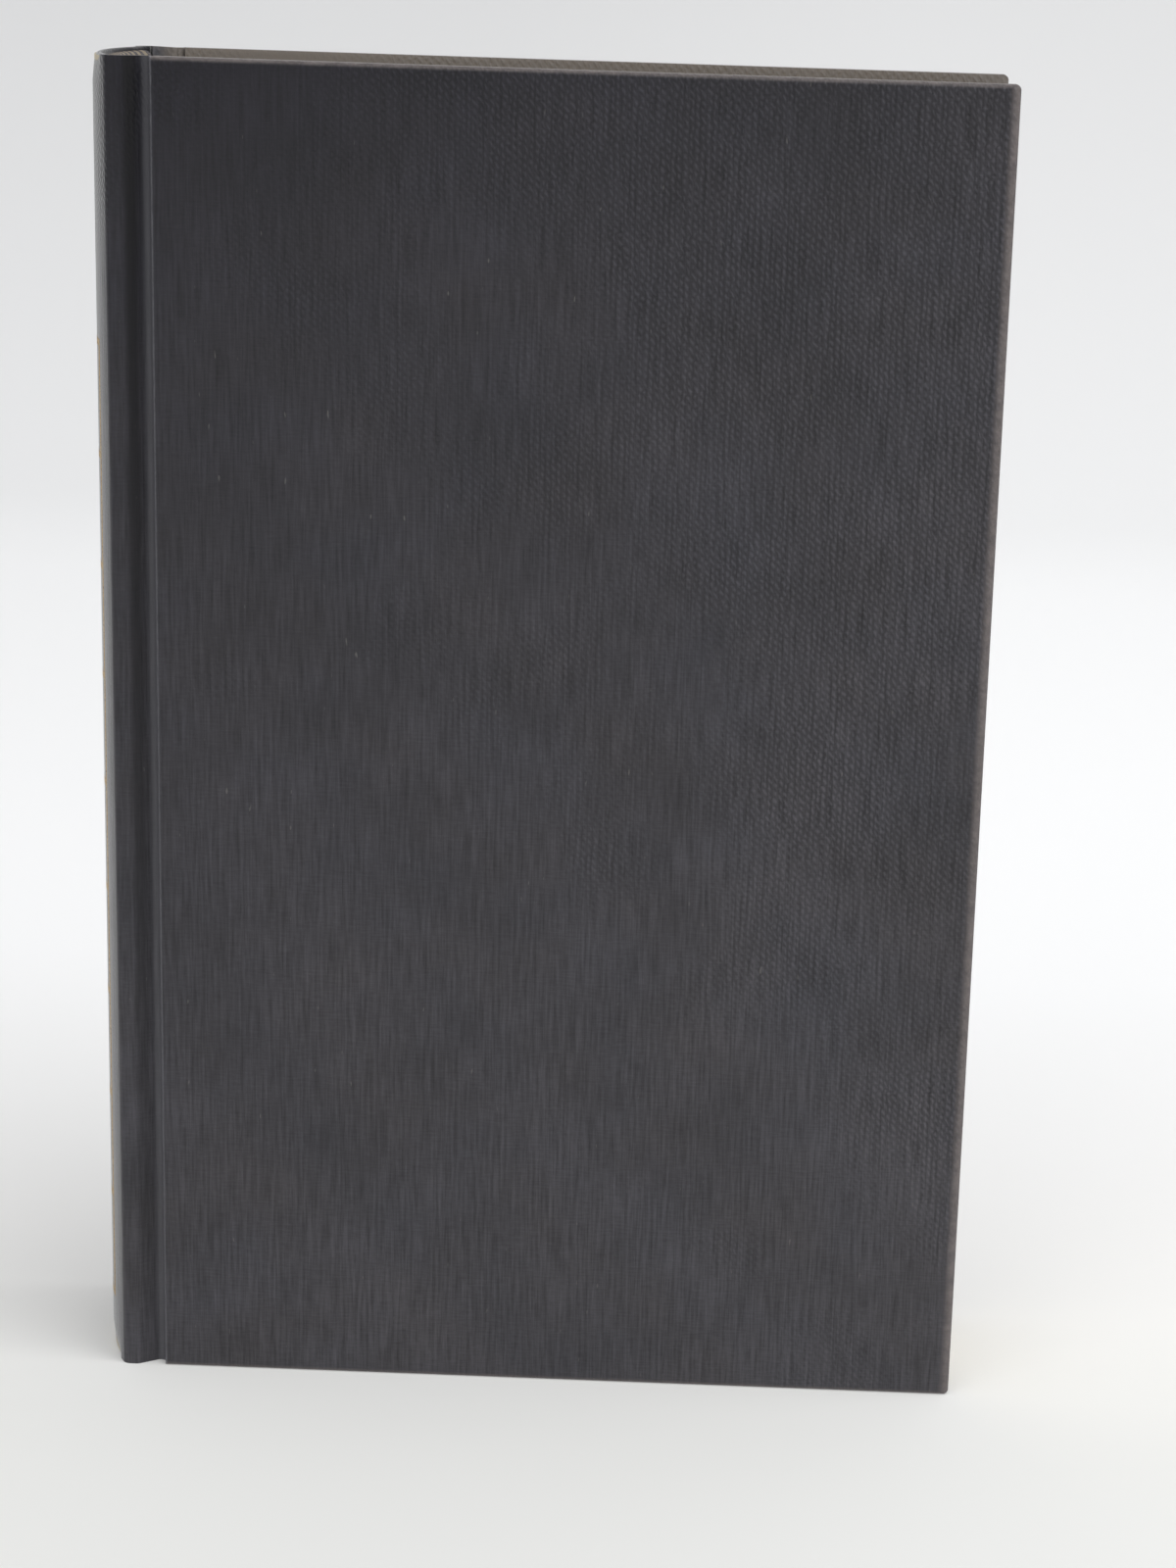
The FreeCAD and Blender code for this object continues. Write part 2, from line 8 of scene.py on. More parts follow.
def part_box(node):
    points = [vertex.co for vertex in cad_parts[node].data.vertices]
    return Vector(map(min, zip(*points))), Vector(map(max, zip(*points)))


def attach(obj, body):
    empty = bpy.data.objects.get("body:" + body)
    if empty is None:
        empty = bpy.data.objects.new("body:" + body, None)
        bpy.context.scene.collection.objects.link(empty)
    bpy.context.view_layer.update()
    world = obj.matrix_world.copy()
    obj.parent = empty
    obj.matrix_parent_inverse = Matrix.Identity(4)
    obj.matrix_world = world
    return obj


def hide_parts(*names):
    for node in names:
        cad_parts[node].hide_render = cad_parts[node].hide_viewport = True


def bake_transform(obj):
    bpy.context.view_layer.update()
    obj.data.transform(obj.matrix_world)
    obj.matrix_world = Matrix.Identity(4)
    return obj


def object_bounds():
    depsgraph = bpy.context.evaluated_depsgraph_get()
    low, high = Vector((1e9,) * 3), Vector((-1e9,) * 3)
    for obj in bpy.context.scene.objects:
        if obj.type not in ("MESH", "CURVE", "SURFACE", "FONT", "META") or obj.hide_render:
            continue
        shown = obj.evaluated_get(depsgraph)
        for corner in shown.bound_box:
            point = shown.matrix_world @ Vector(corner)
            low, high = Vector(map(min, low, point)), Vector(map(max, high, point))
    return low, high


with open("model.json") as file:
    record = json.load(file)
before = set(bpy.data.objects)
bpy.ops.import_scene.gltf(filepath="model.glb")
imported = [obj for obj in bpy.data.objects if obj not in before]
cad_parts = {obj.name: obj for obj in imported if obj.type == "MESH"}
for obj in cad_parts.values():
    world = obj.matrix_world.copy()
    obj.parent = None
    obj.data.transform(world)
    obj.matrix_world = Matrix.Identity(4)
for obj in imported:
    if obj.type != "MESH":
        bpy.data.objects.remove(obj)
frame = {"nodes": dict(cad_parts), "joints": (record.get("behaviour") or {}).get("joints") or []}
cad_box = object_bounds()

# Sizes of the book, in metres, as its solids have them

MM = 0.001
CLOTH = 0.35 * MM
CARD = 0.5 * MM
BOARD = 2.5 * MM
SHOULDER_ROUND = 1.4 * MM
VALLEY_ROUND = 1.0 * MM
JOINT_DEEP = 2.5 * MM
JOINT_WIDE = 6.85 * MM
RIDGE_FLAT = 1.0 * MM
RIDGE_DROP = 0.2 * MM
SPINE_RISE = 4.8 * MM
SHOULDER_FOOT = 1.9 * MM
HINGE_SLIT = 0.3 * MM
TURN_IN = 15 * MM
BAND_BEAD = 2.4 * MM

FRONT = -1
REAR = 1
PAGE_BODY = "page_block"
WORDS = {FRONT: "front", REAR: "back"}
BOOK_LOW, BOOK_HIGH = cad_box
FOOT = BOOK_LOW.z
HEAD = BOOK_HIGH.z
HALF_THICK = (BOOK_HIGH.y - BOOK_LOW.y) / 2
APEX_X = BOOK_LOW.x
FORE_X = BOOK_HIGH.x
JOINT_X = APEX_X + SPINE_RISE + JOINT_WIDE
VALLEY_X = JOINT_X - VALLEY_ROUND
SPINE_ROUND = (HALF_THICK ** 2 + SPINE_RISE ** 2) / (2 * SPINE_RISE)
SPINE_X = APEX_X + SPINE_ROUND
BLOCK_LOW, BLOCK_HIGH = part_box("text_block")
LEAF_LOW, LEAF_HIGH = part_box("front_flyleaf")
PASTE_LOW, PASTE_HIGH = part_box("front_pastedown")
BAND_LOW, BAND_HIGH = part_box("head_band")
HINGES = {joint["child"]: Vector(joint["pos_m"]) for joint in frame["joints"]}
BACK_ROUND = SPINE_X - BLOCK_LOW.x
BLOCK_HALF = -LEAF_HIGH.y
SHOULDER_HALF = BLOCK_HIGH.y
SHOULDER_X = SPINE_X - math.sqrt(BACK_ROUND ** 2 - SHOULDER_HALF ** 2)
SHOULDER_FOOT_X = JOINT_X - SHOULDER_FOOT


# Colours and nodes

def srgb(text):
    """A hex colour as the linear values that a shader takes."""
    values = [int(text[index:index + 2], 16) / 255 for index in (0, 2, 4)]
    return (*[v / 12.92 if v <= 0.04045 else ((v + 0.055) / 1.055) ** 2.4 for v in values], 1.0)


def add(tree, kind, inputs=None, **settings):
    """Add a node with its settings; each input takes a value, or the socket that it is linked from."""
    node = tree.nodes.new(kind)
    for name, value in settings.items():
        setattr(node, name, value)
    for key, value in (inputs or {}).items():
        if isinstance(value, bpy.types.NodeSocket):
            tree.links.new(value, node.inputs[key])
        else:
            node.inputs[key].default_value = value
    return node


def new_material(name, **values):
    """A material with one shader, whose plain sockets are set by name."""
    material = bpy.data.materials.new(name)
    material.use_nodes = True
    tree = material.node_tree
    tree.nodes.clear()
    shader = add(tree, "ShaderNodeBsdfPrincipled")
    for key, value in values.items():
        shader.inputs[key.replace("_", " ")].default_value = value
    add(tree, "ShaderNodeOutputMaterial", {"Surface": shader.outputs[0]})
    return material, tree, shader


# Book cloth: starched cotton, dyed black, embossed with rows of small pins and rubbed by handling.
# It gives the eye a dull charcoal with upright thread streaks, slanting rows of pins, cloudy mottling
# and lint, painted shade towards the head and the spine and in the groove, and pale brown rims and a
# line by the groove painted as highlights, partly rubbed. On the spine its nap is pale seen edge on.
# Threads and pins lie on the map named cloth, which is in millimetres.

# Of these colours, the first two are painted shade at the head and painted light at the foot; the next
# two are painted highlights, partly rubbing; then come the groove's painted shade, lint, and painted
# light at the head of the boards' inner sides.
CLOTH_SHADED_HEAD = "16151c"
CLOTH_LIT_FOOT = "4a494c"
CLOTH_RUB_AND_HIGHLIGHT = "727277"
CLOTH_RIM_HIGHLIGHT = "7a7270"
CLOTH_GROOVE_SHADE = "0b0a0e"
LINT = "7d7a76"
PAINTED_HEAD_LIGHT = "7a746f"
CLOTH_COOL = (0.94, 0.97, 1.05, 1.0)
CLOTH_WARM = (1.08, 1.02, 0.97, 1.0)
CLOTH_ROUGH = 0.5
CLOTH_ROUGH_VARY = 0.05
PIN_ROW = 1.0
PIN_STEP = 0.9
PIN_SLANT = math.radians(-50)
RIM_AT_FORE = 2.0 * MM
RIM_AT_HEAD = 0.8 * MM
RIM_AT_FOOT = 0.9 * MM
HEAD_LIGHT_DEPTH = 1.2 * MM
HEAD_LIGHT_DROP = 3.5 * MM
GROOVE_X = JOINT_X - 4.1 * MM

# A wave texture of scale 1 repeats after this length.
WAVE_LENGTH = 2 * math.pi / 20


def cloth_pins(tree, mm, down, outward):
    """Pins where slanting rows cross upright ones, crispest at the head and away from the spine."""
    slanted = add(tree, "ShaderNodeMapping", {"Vector": mm, "Rotation": (0, 0, PIN_SLANT)})
    rows = add(tree, "ShaderNodeTexWave", {
        "Vector": slanted.outputs[0], "Scale": WAVE_LENGTH / PIN_ROW,
        "Distortion": 2.2, "Detail": 3.0, "Detail Scale": 1.4,
    })
    steps = add(tree, "ShaderNodeTexWave", {
        "Vector": mm, "Scale": WAVE_LENGTH / PIN_STEP,
        "Distortion": 6.0, "Detail": 3.0, "Detail Scale": 1.6,
    })
    pins = add(
        tree, "ShaderNodeMath", {0: rows.outputs["Fac"], 1: steps.outputs["Fac"]}, operation="MULTIPLY",
    )
    patch = add(tree, "ShaderNodeTexNoise", {"Vector": mm, "Scale": 0.03, "Detail": 2.0})
    corner = add(tree, "ShaderNodeMath", {0: outward, 1: down}, operation="SUBTRACT")
    here = add(tree, "ShaderNodeMath", {
        0: corner.outputs[0], 1: 0.5, 2: patch.outputs["Fac"],
    }, operation="MULTIPLY_ADD")
    shown = add(tree, "ShaderNodeMapRange", {
        "Value": here.outputs[0], "From Min": 0.44, "From Max": 0.76, "To Min": 0.04,
    })
    about = add(tree, "ShaderNodeMath", {0: pins.outputs[0], 1: 0.25}, operation="SUBTRACT")
    weave = add(
        tree, "ShaderNodeMath", {0: about.outputs[0], 1: shown.outputs[0]}, operation="MULTIPLY",
    )
    return weave.outputs[0]


def cloth_threads(tree, mm):
    """Warp threads run up the book, and the thicker ones show as streaks some 10 mm long."""
    upright = add(tree, "ShaderNodeMapping", {"Vector": mm, "Scale": (2.0, 0.1, 1)})
    level = add(tree, "ShaderNodeMapping", {"Vector": mm, "Scale": (0.35, 3.0, 1)})
    warp, weft = [
        add(tree, "ShaderNodeTexNoise", {
            "Vector": way.outputs[0], "Scale": 1.0, "Detail": 3.0, "Roughness": 0.65,
        }).outputs["Fac"]
        for way in (upright, level)
    ]
    return add(tree, "ShaderNodeMath", {0: weft, 1: 0.4, 2: warp}, operation="MULTIPLY_ADD").outputs[0]


def cloth_dye_and_painted_shade(tree, mm, down, outward, cloud, weave, threads):
    """Painted shade and light: darkest at the head by the spine, lightest at the foot's far corner;
    cloudy and streaked.
    """
    early = add(tree, "ShaderNodeMath", {0: down, 1: 0.6}, operation="POWER").outputs[0]
    less = add(tree, "ShaderNodeMapRange", {"Value": early, "To Min": 0.42, "To Max": 0.15})
    beside = add(
        tree, "ShaderNodeMath", {0: outward, 1: less.outputs[0], 2: -0.06}, operation="MULTIPLY_ADD",
    )
    share = add(
        tree, "ShaderNodeMath", {0: early, 1: 0.72, 2: beside.outputs[0]}, operation="MULTIPLY_ADD",
    )
    # Painted shade at the head and by the spine, painted light towards the foot.
    painted_shading = add(
        tree, "ShaderNodeMix", {0: share.outputs[0], 6: srgb(CLOTH_SHADED_HEAD), 7: srgb(CLOTH_LIT_FOOT)},
        data_type="RGBA",
    )
    mottle = add(tree, "ShaderNodeMapRange", {
        "Value": cloud, "From Min": 0.3, "From Max": 0.7, "To Min": 0.8, "To Max": 1.2,
    })
    streaked = add(
        tree, "ShaderNodeMath", {0: threads, 1: 1.8, 2: -0.26}, operation="MULTIPLY_ADD",
    )
    lit = add(
        tree, "ShaderNodeMath", {0: weave, 1: 0.8, 2: streaked.outputs[0]}, operation="MULTIPLY_ADD",
    )
    tone = add(
        tree, "ShaderNodeMath", {0: lit.outputs[0], 1: mottle.outputs[0]}, operation="MULTIPLY",
    )
    toned = add(
        tree, "ShaderNodeMix", {0: 1.0, 6: painted_shading.outputs[2], 7: tone.outputs[0]},
        data_type="RGBA", blend_type="MULTIPLY",
    )
    hue = add(tree, "ShaderNodeTexNoise", {"Vector": mm, "Scale": 0.05, "Detail": 3.0})
    bath = add(
        tree, "ShaderNodeMix", {0: hue.outputs["Fac"], 6: CLOTH_COOL, 7: CLOTH_WARM}, data_type="RGBA",
    )
    dyed = add(
        tree, "ShaderNodeMix", {0: 1.0, 6: toned.outputs[2], 7: bath.outputs[2]},
        data_type="RGBA", blend_type="MULTIPLY",
    )
    return dyed.outputs[2]


def cloth_lint(tree, mm, colour):
    """Lint and small scuffs, longer than they are wide."""
    fibre = add(tree, "ShaderNodeMapping", {"Vector": mm, "Scale": (1.3, 0.35, 1)})
    lint = add(tree, "ShaderNodeTexNoise", {"Vector": fibre.outputs[0], "Scale": 1.0, "Detail": 1.0})
    spots = add(tree, "ShaderNodeMapRange", {
        "Value": lint.outputs["Fac"], "From Min": 0.76, "From Max": 0.82, "To Max": 0.3,
    })
    return add(
        tree, "ShaderNodeMix", {0: spots.outputs[0], 6: colour, 7: srgb(LINT)}, data_type="RGBA",
    ).outputs[2]


def rims_lit_and_rubbed(tree, mm, at, colour):
    """Painted highlights, partly rubbing: pale over the board's rounding at the fore-edge, the head and
    foot less so, and a thin pale line where the board rises from the groove. Painted light lies on the
    inner side of the boards at the head."""
    joint, fore, top, bottom = [
        add(tree, "ShaderNodeMapRange", {
            "Value": place, "From Min": sound, "From Max": bare,
        }, interpolation_type="SMOOTHSTEP").outputs[0]
        for place, sound, bare in (
            # A painted highlight, partly rubbing, where the board rises from the groove.
            (at[0], JOINT_X + 0.5 * MM, JOINT_X + 0.2 * MM),
            (at[0], FORE_X - RIM_AT_FORE, FORE_X - RIM_AT_FORE / 4),
            (at[2], HEAD - RIM_AT_HEAD, HEAD),
            (at[2], FOOT + RIM_AT_FOOT, FOOT),
        )
    ]
    ends = add(tree, "ShaderNodeMath", {0: top, 1: bottom}, operation="MAXIMUM")
    rims = add(tree, "ShaderNodeMath", {0: fore, 1: ends.outputs[0]}, operation="MAXIMUM")
    fray = add(tree, "ShaderNodeTexNoise", {
        "Vector": mm, "Scale": 0.45, "Detail": 5.0, "Roughness": 0.7,
    })
    worn = add(tree, "ShaderNodeMapRange", {
        "Value": fray.outputs["Fac"], "From Min": 0.3, "From Max": 0.7, "To Min": 0.35, "To Max": 0.95,
    })
    # Painted light: the inner side of each board is paler near the head, as if lit from above.
    depth = add(tree, "ShaderNodeMath", {0: at[1]}, operation="ABSOLUTE")
    inner = add(tree, "ShaderNodeMapRange", {
        "Value": depth.outputs[0], "From Min": HALF_THICK - HEAD_LIGHT_DEPTH, "From Max": HALF_THICK - BOARD,
    })
    high = add(tree, "ShaderNodeMapRange", {
        "Value": at[2], "From Min": HEAD - HEAD_LIGHT_DROP, "From Max": HEAD - 1.5 * MM, "To Max": 0.8,
    })
    # Rims and joint line get painted highlights, partly rubbing; the inner side at the head gets painted
    # light.
    for where, amount, over in (
        (rims.outputs[0], worn, CLOTH_RIM_HIGHLIGHT), (joint, worn, CLOTH_RUB_AND_HIGHLIGHT), (inner.outputs[0], high, PAINTED_HEAD_LIGHT),
    ):
        share = add(tree, "ShaderNodeMath", {0: where, 1: amount.outputs[0]}, operation="MULTIPLY")
        colour = add(
            tree, "ShaderNodeMix", {0: share.outputs[0], 6: colour, 7: srgb(over)}, data_type="RGBA",
        ).outputs[2]
    return colour


def painted_groove_shade(tree, mm, down, colour):
    """Painted shade darkens the groove on the side of the spine, most of all towards the head, and
    painted light brightens it on the side of the board."""
    across = add(tree, "ShaderNodeSeparateXYZ", {0: mm}).outputs[0]
    off = add(tree, "ShaderNodeMath", {0: across, 1: GROOVE_X / MM}, operation="SUBTRACT")
    painted_wall_light = add(tree, "ShaderNodeMapRange", {
        "Value": off.outputs[0], "From Min": 1.5, "From Max": 2.6, "To Max": 0.3,
    }, interpolation_type="SMOOTHSTEP")
    far = add(tree, "ShaderNodeMath", {0: off.outputs[0]}, operation="ABSOLUTE")
    groove = add(tree, "ShaderNodeMapRange", {
        "Value": far.outputs[0], "From Min": 1.6, "From Max": 0.4,
    }, interpolation_type="SMOOTHSTEP")
    kept = add(tree, "ShaderNodeMapRange", {"Value": down, "To Min": 1.0, "To Max": 0.15})
    deep = add(
        tree, "ShaderNodeMath", {0: groove.outputs[0], 1: kept.outputs[0]}, operation="MULTIPLY",
    )
    # Painted light on the board's side of the groove, then painted shade in the groove.
    for share, over in ((painted_wall_light, CLOTH_RUB_AND_HIGHLIGHT), (deep, CLOTH_GROOVE_SHADE)):
        colour = add(
            tree, "ShaderNodeMix", {0: share.outputs[0], 6: colour, 7: srgb(over)}, data_type="RGBA",
        ).outputs[2]
    return colour


def book_cloth(name, on_board, gloss, nap):
    material, tree, shader = new_material(
        name, IOR=1.5, Specular_IOR_Level=gloss, Sheen_Weight=nap, Sheen_Roughness=0.3,
    )
    mm = add(tree, "ShaderNodeUVMap", uv_map="cloth").outputs[0]
    place = add(tree, "ShaderNodeTexCoord").outputs["Object"]
    at = add(tree, "ShaderNodeSeparateXYZ", {0: place}).outputs
    down, outward = [
        add(tree, "ShaderNodeMapRange", {"Value": way, "From Min": low, "From Max": high}).outputs[0]
        for way, low, high in ((at[2], HEAD, FOOT), (at[0], JOINT_X, FORE_X))
    ]
    cloud = add(tree, "ShaderNodeTexNoise", {
        "Vector": mm, "Scale": 0.035, "Detail": 5.0, "Roughness": 0.62,
    }).outputs["Fac"]
    weave = cloth_pins(tree, mm, down, outward)
    threads = cloth_threads(tree, mm)
    dyed = cloth_dye_and_painted_shade(tree, mm, down, outward, cloud, weave, threads)
    colour = cloth_lint(tree, mm, dyed)
    if on_board:
        colour = rims_lit_and_rubbed(tree, mm, at, colour)
    else:
        colour = painted_groove_shade(tree, mm, down, colour)
    relief = add(tree, "ShaderNodeMath", {0: weave, 1: 1.6, 2: threads}, operation="MULTIPLY_ADD")
    bump = add(
        tree, "ShaderNodeBump", {"Height": relief.outputs[0], "Strength": 0.8, "Distance": 0.1 * MM},
    )
    dull = add(tree, "ShaderNodeMapRange", {
        "Value": cloud, "From Min": 0.3, "From Max": 0.7,
        "To Min": CLOTH_ROUGH - CLOTH_ROUGH_VARY, "To Max": CLOTH_ROUGH + CLOTH_ROUGH_VARY,
    })
    tree.links.new(colour, shader.inputs["Base Color"])
    tree.links.new(dull.outputs[0], shader.inputs["Roughness"])
    tree.links.new(bump.outputs[0], shader.inputs["Normal"])
    return material


# Book paper: wood-free, trimmed with a knife and toned with age. Its cut edges show as fine uneven
# lines, each leaf a little lighter or darker than the next, with cloudy browner patches.

def page_paper(name):
    material, tree, shader = new_material(name, Roughness=0.85, Specular_IOR_Level=0.3)
    place = add(tree, "ShaderNodeTexCoord").outputs["Object"]
    leaf = add(tree, "ShaderNodeAttribute", attribute_name="leaf").outputs["Fac"]
    cloud = add(tree, "ShaderNodeTexNoise", {
        "Vector": place, "Scale": 40.0, "Detail": 4.0, "Roughness": 0.6,
    }).outputs["Fac"]
    cream = add(
        tree, "ShaderNodeMix", {0: leaf, 6: srgb("cfc3a8"), 7: srgb("e6dfcd")}, data_type="RGBA",
    )
    age = add(tree, "ShaderNodeMapRange", {
        "Value": cloud, "From Min": 0.4, "From Max": 0.75, "To Max": 0.45,
    })
    toned = add(
        tree, "ShaderNodeMix", {0: age.outputs[0], 6: cream.outputs[2], 7: srgb("b39d78")},
        data_type="RGBA",
    )
    cut = add(tree, "ShaderNodeTexNoise", {"Vector": place, "Scale": 1500.0, "Detail": 3.0})
    bump = add(
        tree, "ShaderNodeBump", {"Height": cut.outputs["Fac"], "Strength": 0.3, "Distance": 0.04 * MM},
    )
    tree.links.new(toned.outputs[2], shader.inputs["Base Color"])
    tree.links.new(bump.outputs[0], shader.inputs["Normal"])
    return material


# Sheets that a binder buys in: uncoated endpaper, pulped millboard, folding card and kraft. They give
# the eye a dull mottled sheet, with the fibres or specks of each.

def pulp_sheet(name, light, dark, speck, fleck_share):
    material, tree, shader = new_material(name, Roughness=0.9, Specular_IOR_Level=0.25)
    place = add(tree, "ShaderNodeTexCoord").outputs["Object"]
    cloud = add(tree, "ShaderNodeTexNoise", {
        "Vector": place, "Scale": 25.0, "Detail": 4.0, "Roughness": 0.6,
    }).outputs["Fac"]
    fibres = add(tree, "ShaderNodeTexNoise", {
        "Vector": place, "Scale": 1100.0, "Detail": 3.0, "Roughness": 0.75,
    }).outputs["Fac"]
    soft = add(tree, "ShaderNodeMapRange", {"Value": cloud, "From Min": 0.35, "From Max": 0.7})
    sheet = add(
        tree, "ShaderNodeMix", {0: soft.outputs[0], 6: srgb(light), 7: srgb(dark)}, data_type="RGBA",
    )
    specks = add(tree, "ShaderNodeMapRange", {
        "Value": fibres, "From Min": 0.58, "From Max": 0.74, "To Max": fleck_share,
    })
    colour = add(
        tree, "ShaderNodeMix", {0: specks.outputs[0], 6: sheet.outputs[2], 7: srgb(speck)},
        data_type="RGBA",
    )
    bump = add(tree, "ShaderNodeBump", {"Height": fibres, "Strength": 0.35, "Distance": 0.04 * MM})
    tree.links.new(colour.outputs[2], shader.inputs["Base Color"])
    tree.links.new(bump.outputs[0], shader.inputs["Normal"])
    return material


# Mull: open cotton gauze, stiffened with starch and glued down, so a grid of pale threads 0.9 mm
# apart shows over brown glue.

GAUZE_PITCH = 0.9 * MM


def starched_gauze(name):
    material, tree, shader = new_material(name, Roughness=0.9)
    place = add(tree, "ShaderNodeTexCoord").outputs["Object"]
    ways = [
        add(tree, "ShaderNodeTexWave", {
            "Vector": place, "Scale": WAVE_LENGTH / GAUZE_PITCH, "Distortion": 0.6,
        }, bands_direction=axis).outputs["Fac"]
        for axis in "XYZ"
    ]
    pair = add(tree, "ShaderNodeMath", {0: ways[0], 1: ways[1]}, operation="MAXIMUM")
    grid = add(tree, "ShaderNodeMath", {0: pair.outputs[0], 1: ways[2]}, operation="MAXIMUM")
    cover = add(tree, "ShaderNodeMapRange", {"Value": grid.outputs[0], "From Min": 0.7, "From Max": 0.9})
    colour = add(
        tree, "ShaderNodeMix", {0: cover.outputs[0], 6: srgb("a5916d"), 7: srgb("e6dfcf")},
        data_type="RGBA",
    )
    bump = add(
        tree, "ShaderNodeBump", {"Height": cover.outputs[0], "Strength": 0.6, "Distance": 0.08 * MM},
    )
    tree.links.new(colour.outputs[2], shader.inputs["Base Color"])
    tree.links.new(bump.outputs[0], shader.inputs["Normal"])
    return material


# Headband silk: twisted thread, so each turn has a soft gloss and fine slanting strands.

def silk_thread(name, light, dark):
    material, tree, shader = new_material(name, Roughness=0.5, Sheen_Weight=0.3)
    place = add(tree, "ShaderNodeTexCoord").outputs["Object"]
    lay = add(tree, "ShaderNodeMapping", {"Vector": place, "Rotation": (0.6, 0, 0.4)})
    strands = add(tree, "ShaderNodeTexNoise", {
        "Vector": lay.outputs[0], "Scale": 2500.0, "Detail": 2.0,
    }).outputs["Fac"]
    colour = add(
        tree, "ShaderNodeMix", {0: strands, 6: srgb(dark), 7: srgb(light)}, data_type="RGBA",
    )
    bump = add(tree, "ShaderNodeBump", {"Height": strands, "Strength": 0.4, "Distance": 0.04 * MM})
    tree.links.new(colour.outputs[2], shader.inputs["Base Color"])
    tree.links.new(bump.outputs[0], shader.inputs["Normal"])
    return material


# Gilt: gold foil stamped hot on the cloth, dulled, and broken where the tops of the threads wore bare.

def gilt_foil(name):
    material, tree, shader = new_material(name)
    mm = add(tree, "ShaderNodeUVMap", uv_map="cloth").outputs[0]
    fine = add(tree, "ShaderNodeTexNoise", {
        "Vector": mm, "Scale": 2.2, "Detail": 3.0, "Roughness": 0.7,
    }).outputs["Fac"]
    bare = add(tree, "ShaderNodeMapRange", {"Value": fine, "From Min": 0.5, "From Max": 0.64})
    colour = add(
        tree, "ShaderNodeMix", {0: bare.outputs[0], 6: srgb("b99a63"), 7: srgb("3c3936")},
        data_type="RGBA",
    )
    metal = add(tree, "ShaderNodeMapRange", {"Value": bare.outputs[0], "To Min": 0.85, "To Max": 0.0})
    rough = add(tree, "ShaderNodeMapRange", {"Value": bare.outputs[0], "To Min": 0.4, "To Max": 0.65})
    bump = add(tree, "ShaderNodeBump", {"Height": fine, "Strength": 0.5, "Distance": 0.04 * MM})
    tree.links.new(colour.outputs[2], shader.inputs["Base Color"])
    tree.links.new(metal.outputs[0], shader.inputs["Metallic"])
    tree.links.new(rough.outputs[0], shader.inputs["Roughness"])
    tree.links.new(bump.outputs[0], shader.inputs["Normal"])
    return material


# Sweep: a roll of pale paper, painted with shade a little darker near the front and high up. What sees
# it directly finds it slightly lighter than it lights the book, a painted light that is most on the
# right.

def sweep_paper(name):
    material, tree, shader = new_material(
        name, Roughness=1.0, Specular_IOR_Level=0.0, Emission_Color=(1.0, 1.0, 1.0, 1.0),
    )
    place = add(tree, "ShaderNodeTexCoord").outputs["Object"]
    at = add(tree, "ShaderNodeSeparateXYZ", {0: place}).outputs
    run = add(tree, "ShaderNodeMath", {0: at[1], 1: at[2]}, operation="ADD")
    along = add(tree, "ShaderNodeMapRange", {"Value": run.outputs[0], "From Min": -0.4, "From Max": 2.6})
    ramp = add(tree, "ShaderNodeValToRGB", {0: along.outputs[0]})
    stops = ramp.color_ramp.elements
    stops[0].color = srgb("e4e4e1")
    stops[1].color = srgb("d4d4d4")
    for position, colour in (
        (0.12, "e6e6e3"), (0.15, "f1f0ee"), (0.21, "fafafa"), (0.38, "f8f8f8"), (0.53, "e7e7e7"),
        (0.64, "d9d9d9"),
    ):
        stops.new(position).color = srgb(colour)
    paths = add(tree, "ShaderNodeLightPath").outputs
    direct = add(
        tree, "ShaderNodeMath", {0: paths["Is Camera Ray"], 1: paths["Is Glossy Ray"]}, operation="ADD",
    )
    seen = add(
        tree, "ShaderNodeMath", {0: direct.outputs[0], 1: paths["Is Transmission Ray"]}, operation="ADD",
    )
    # Painted light, stronger to the right.
    glow = add(tree, "ShaderNodeMapRange", {
        "Value": at[0], "From Min": -0.1, "From Max": 0.1, "To Min": 0.075, "To Max": 0.115,
    })
    lift = add(tree, "ShaderNodeMath", {0: seen.outputs[0], 1: glow.outputs[0]}, operation="MULTIPLY")
    tree.links.new(ramp.outputs[0], shader.inputs["Base Color"])
    tree.links.new(lift.outputs[0], shader.inputs["Emission Strength"])
    return material


BOARD_CLOTH = book_cloth("starched cotton book cloth, embossed, rubbed at the rims", True, 0.28, 0.03)
SPINE_CLOTH = book_cloth("starched cotton book cloth, embossed, napped by handling", False, 0.28, 0.9)
PAGES = page_paper("book paper, trimmed and toned")
ENDPAPER = pulp_sheet("uncoated endpaper", "e6dece", "ded5c1", "a79a82", 0.2)
MILLBOARD = pulp_sheet("pulped millboard", "8a857c", "78736b", "4a443d", 0.4)
FOLDING_CARD = pulp_sheet("folding card", "c9c0ad", "b7ad98", "6d6455", 0.3)
KRAFT = pulp_sheet("kraft paper", "b08a5c", "9c7a50", "6b5233", 0.3)
GAUZE = starched_gauze("starched cotton gauze")
PALE_SILK = silk_thread("twisted silk, fawn", "9a8f7c", "75695a")
DARK_SILK = silk_thread("twisted silk, charcoal", "575255", "2b272a")
GILT = gilt_foil("hot-stamped gold foil, worn")


# Making pieces; an edge that turns by more than its piece's angle here is shown sharp

SOLID_EDGE = 35.0
FOLD_EDGE = 50.0
STRIP_EDGE = 60.0


def new_object(name, data):
    thing = bpy.data.objects.new(name, data)
    bpy.context.scene.collection.objects.link(thing)
    return thing


def finished_mesh(shape, name, closed=True):
    """The mesh of a shape, its faces outward where it is closed."""
    if closed:
        bmesh.ops.recalc_face_normals(shape, faces=shape.faces)
    mesh = bpy.data.meshes.new(name)
    shape.to_mesh(mesh)
    shape.free()
    return mesh


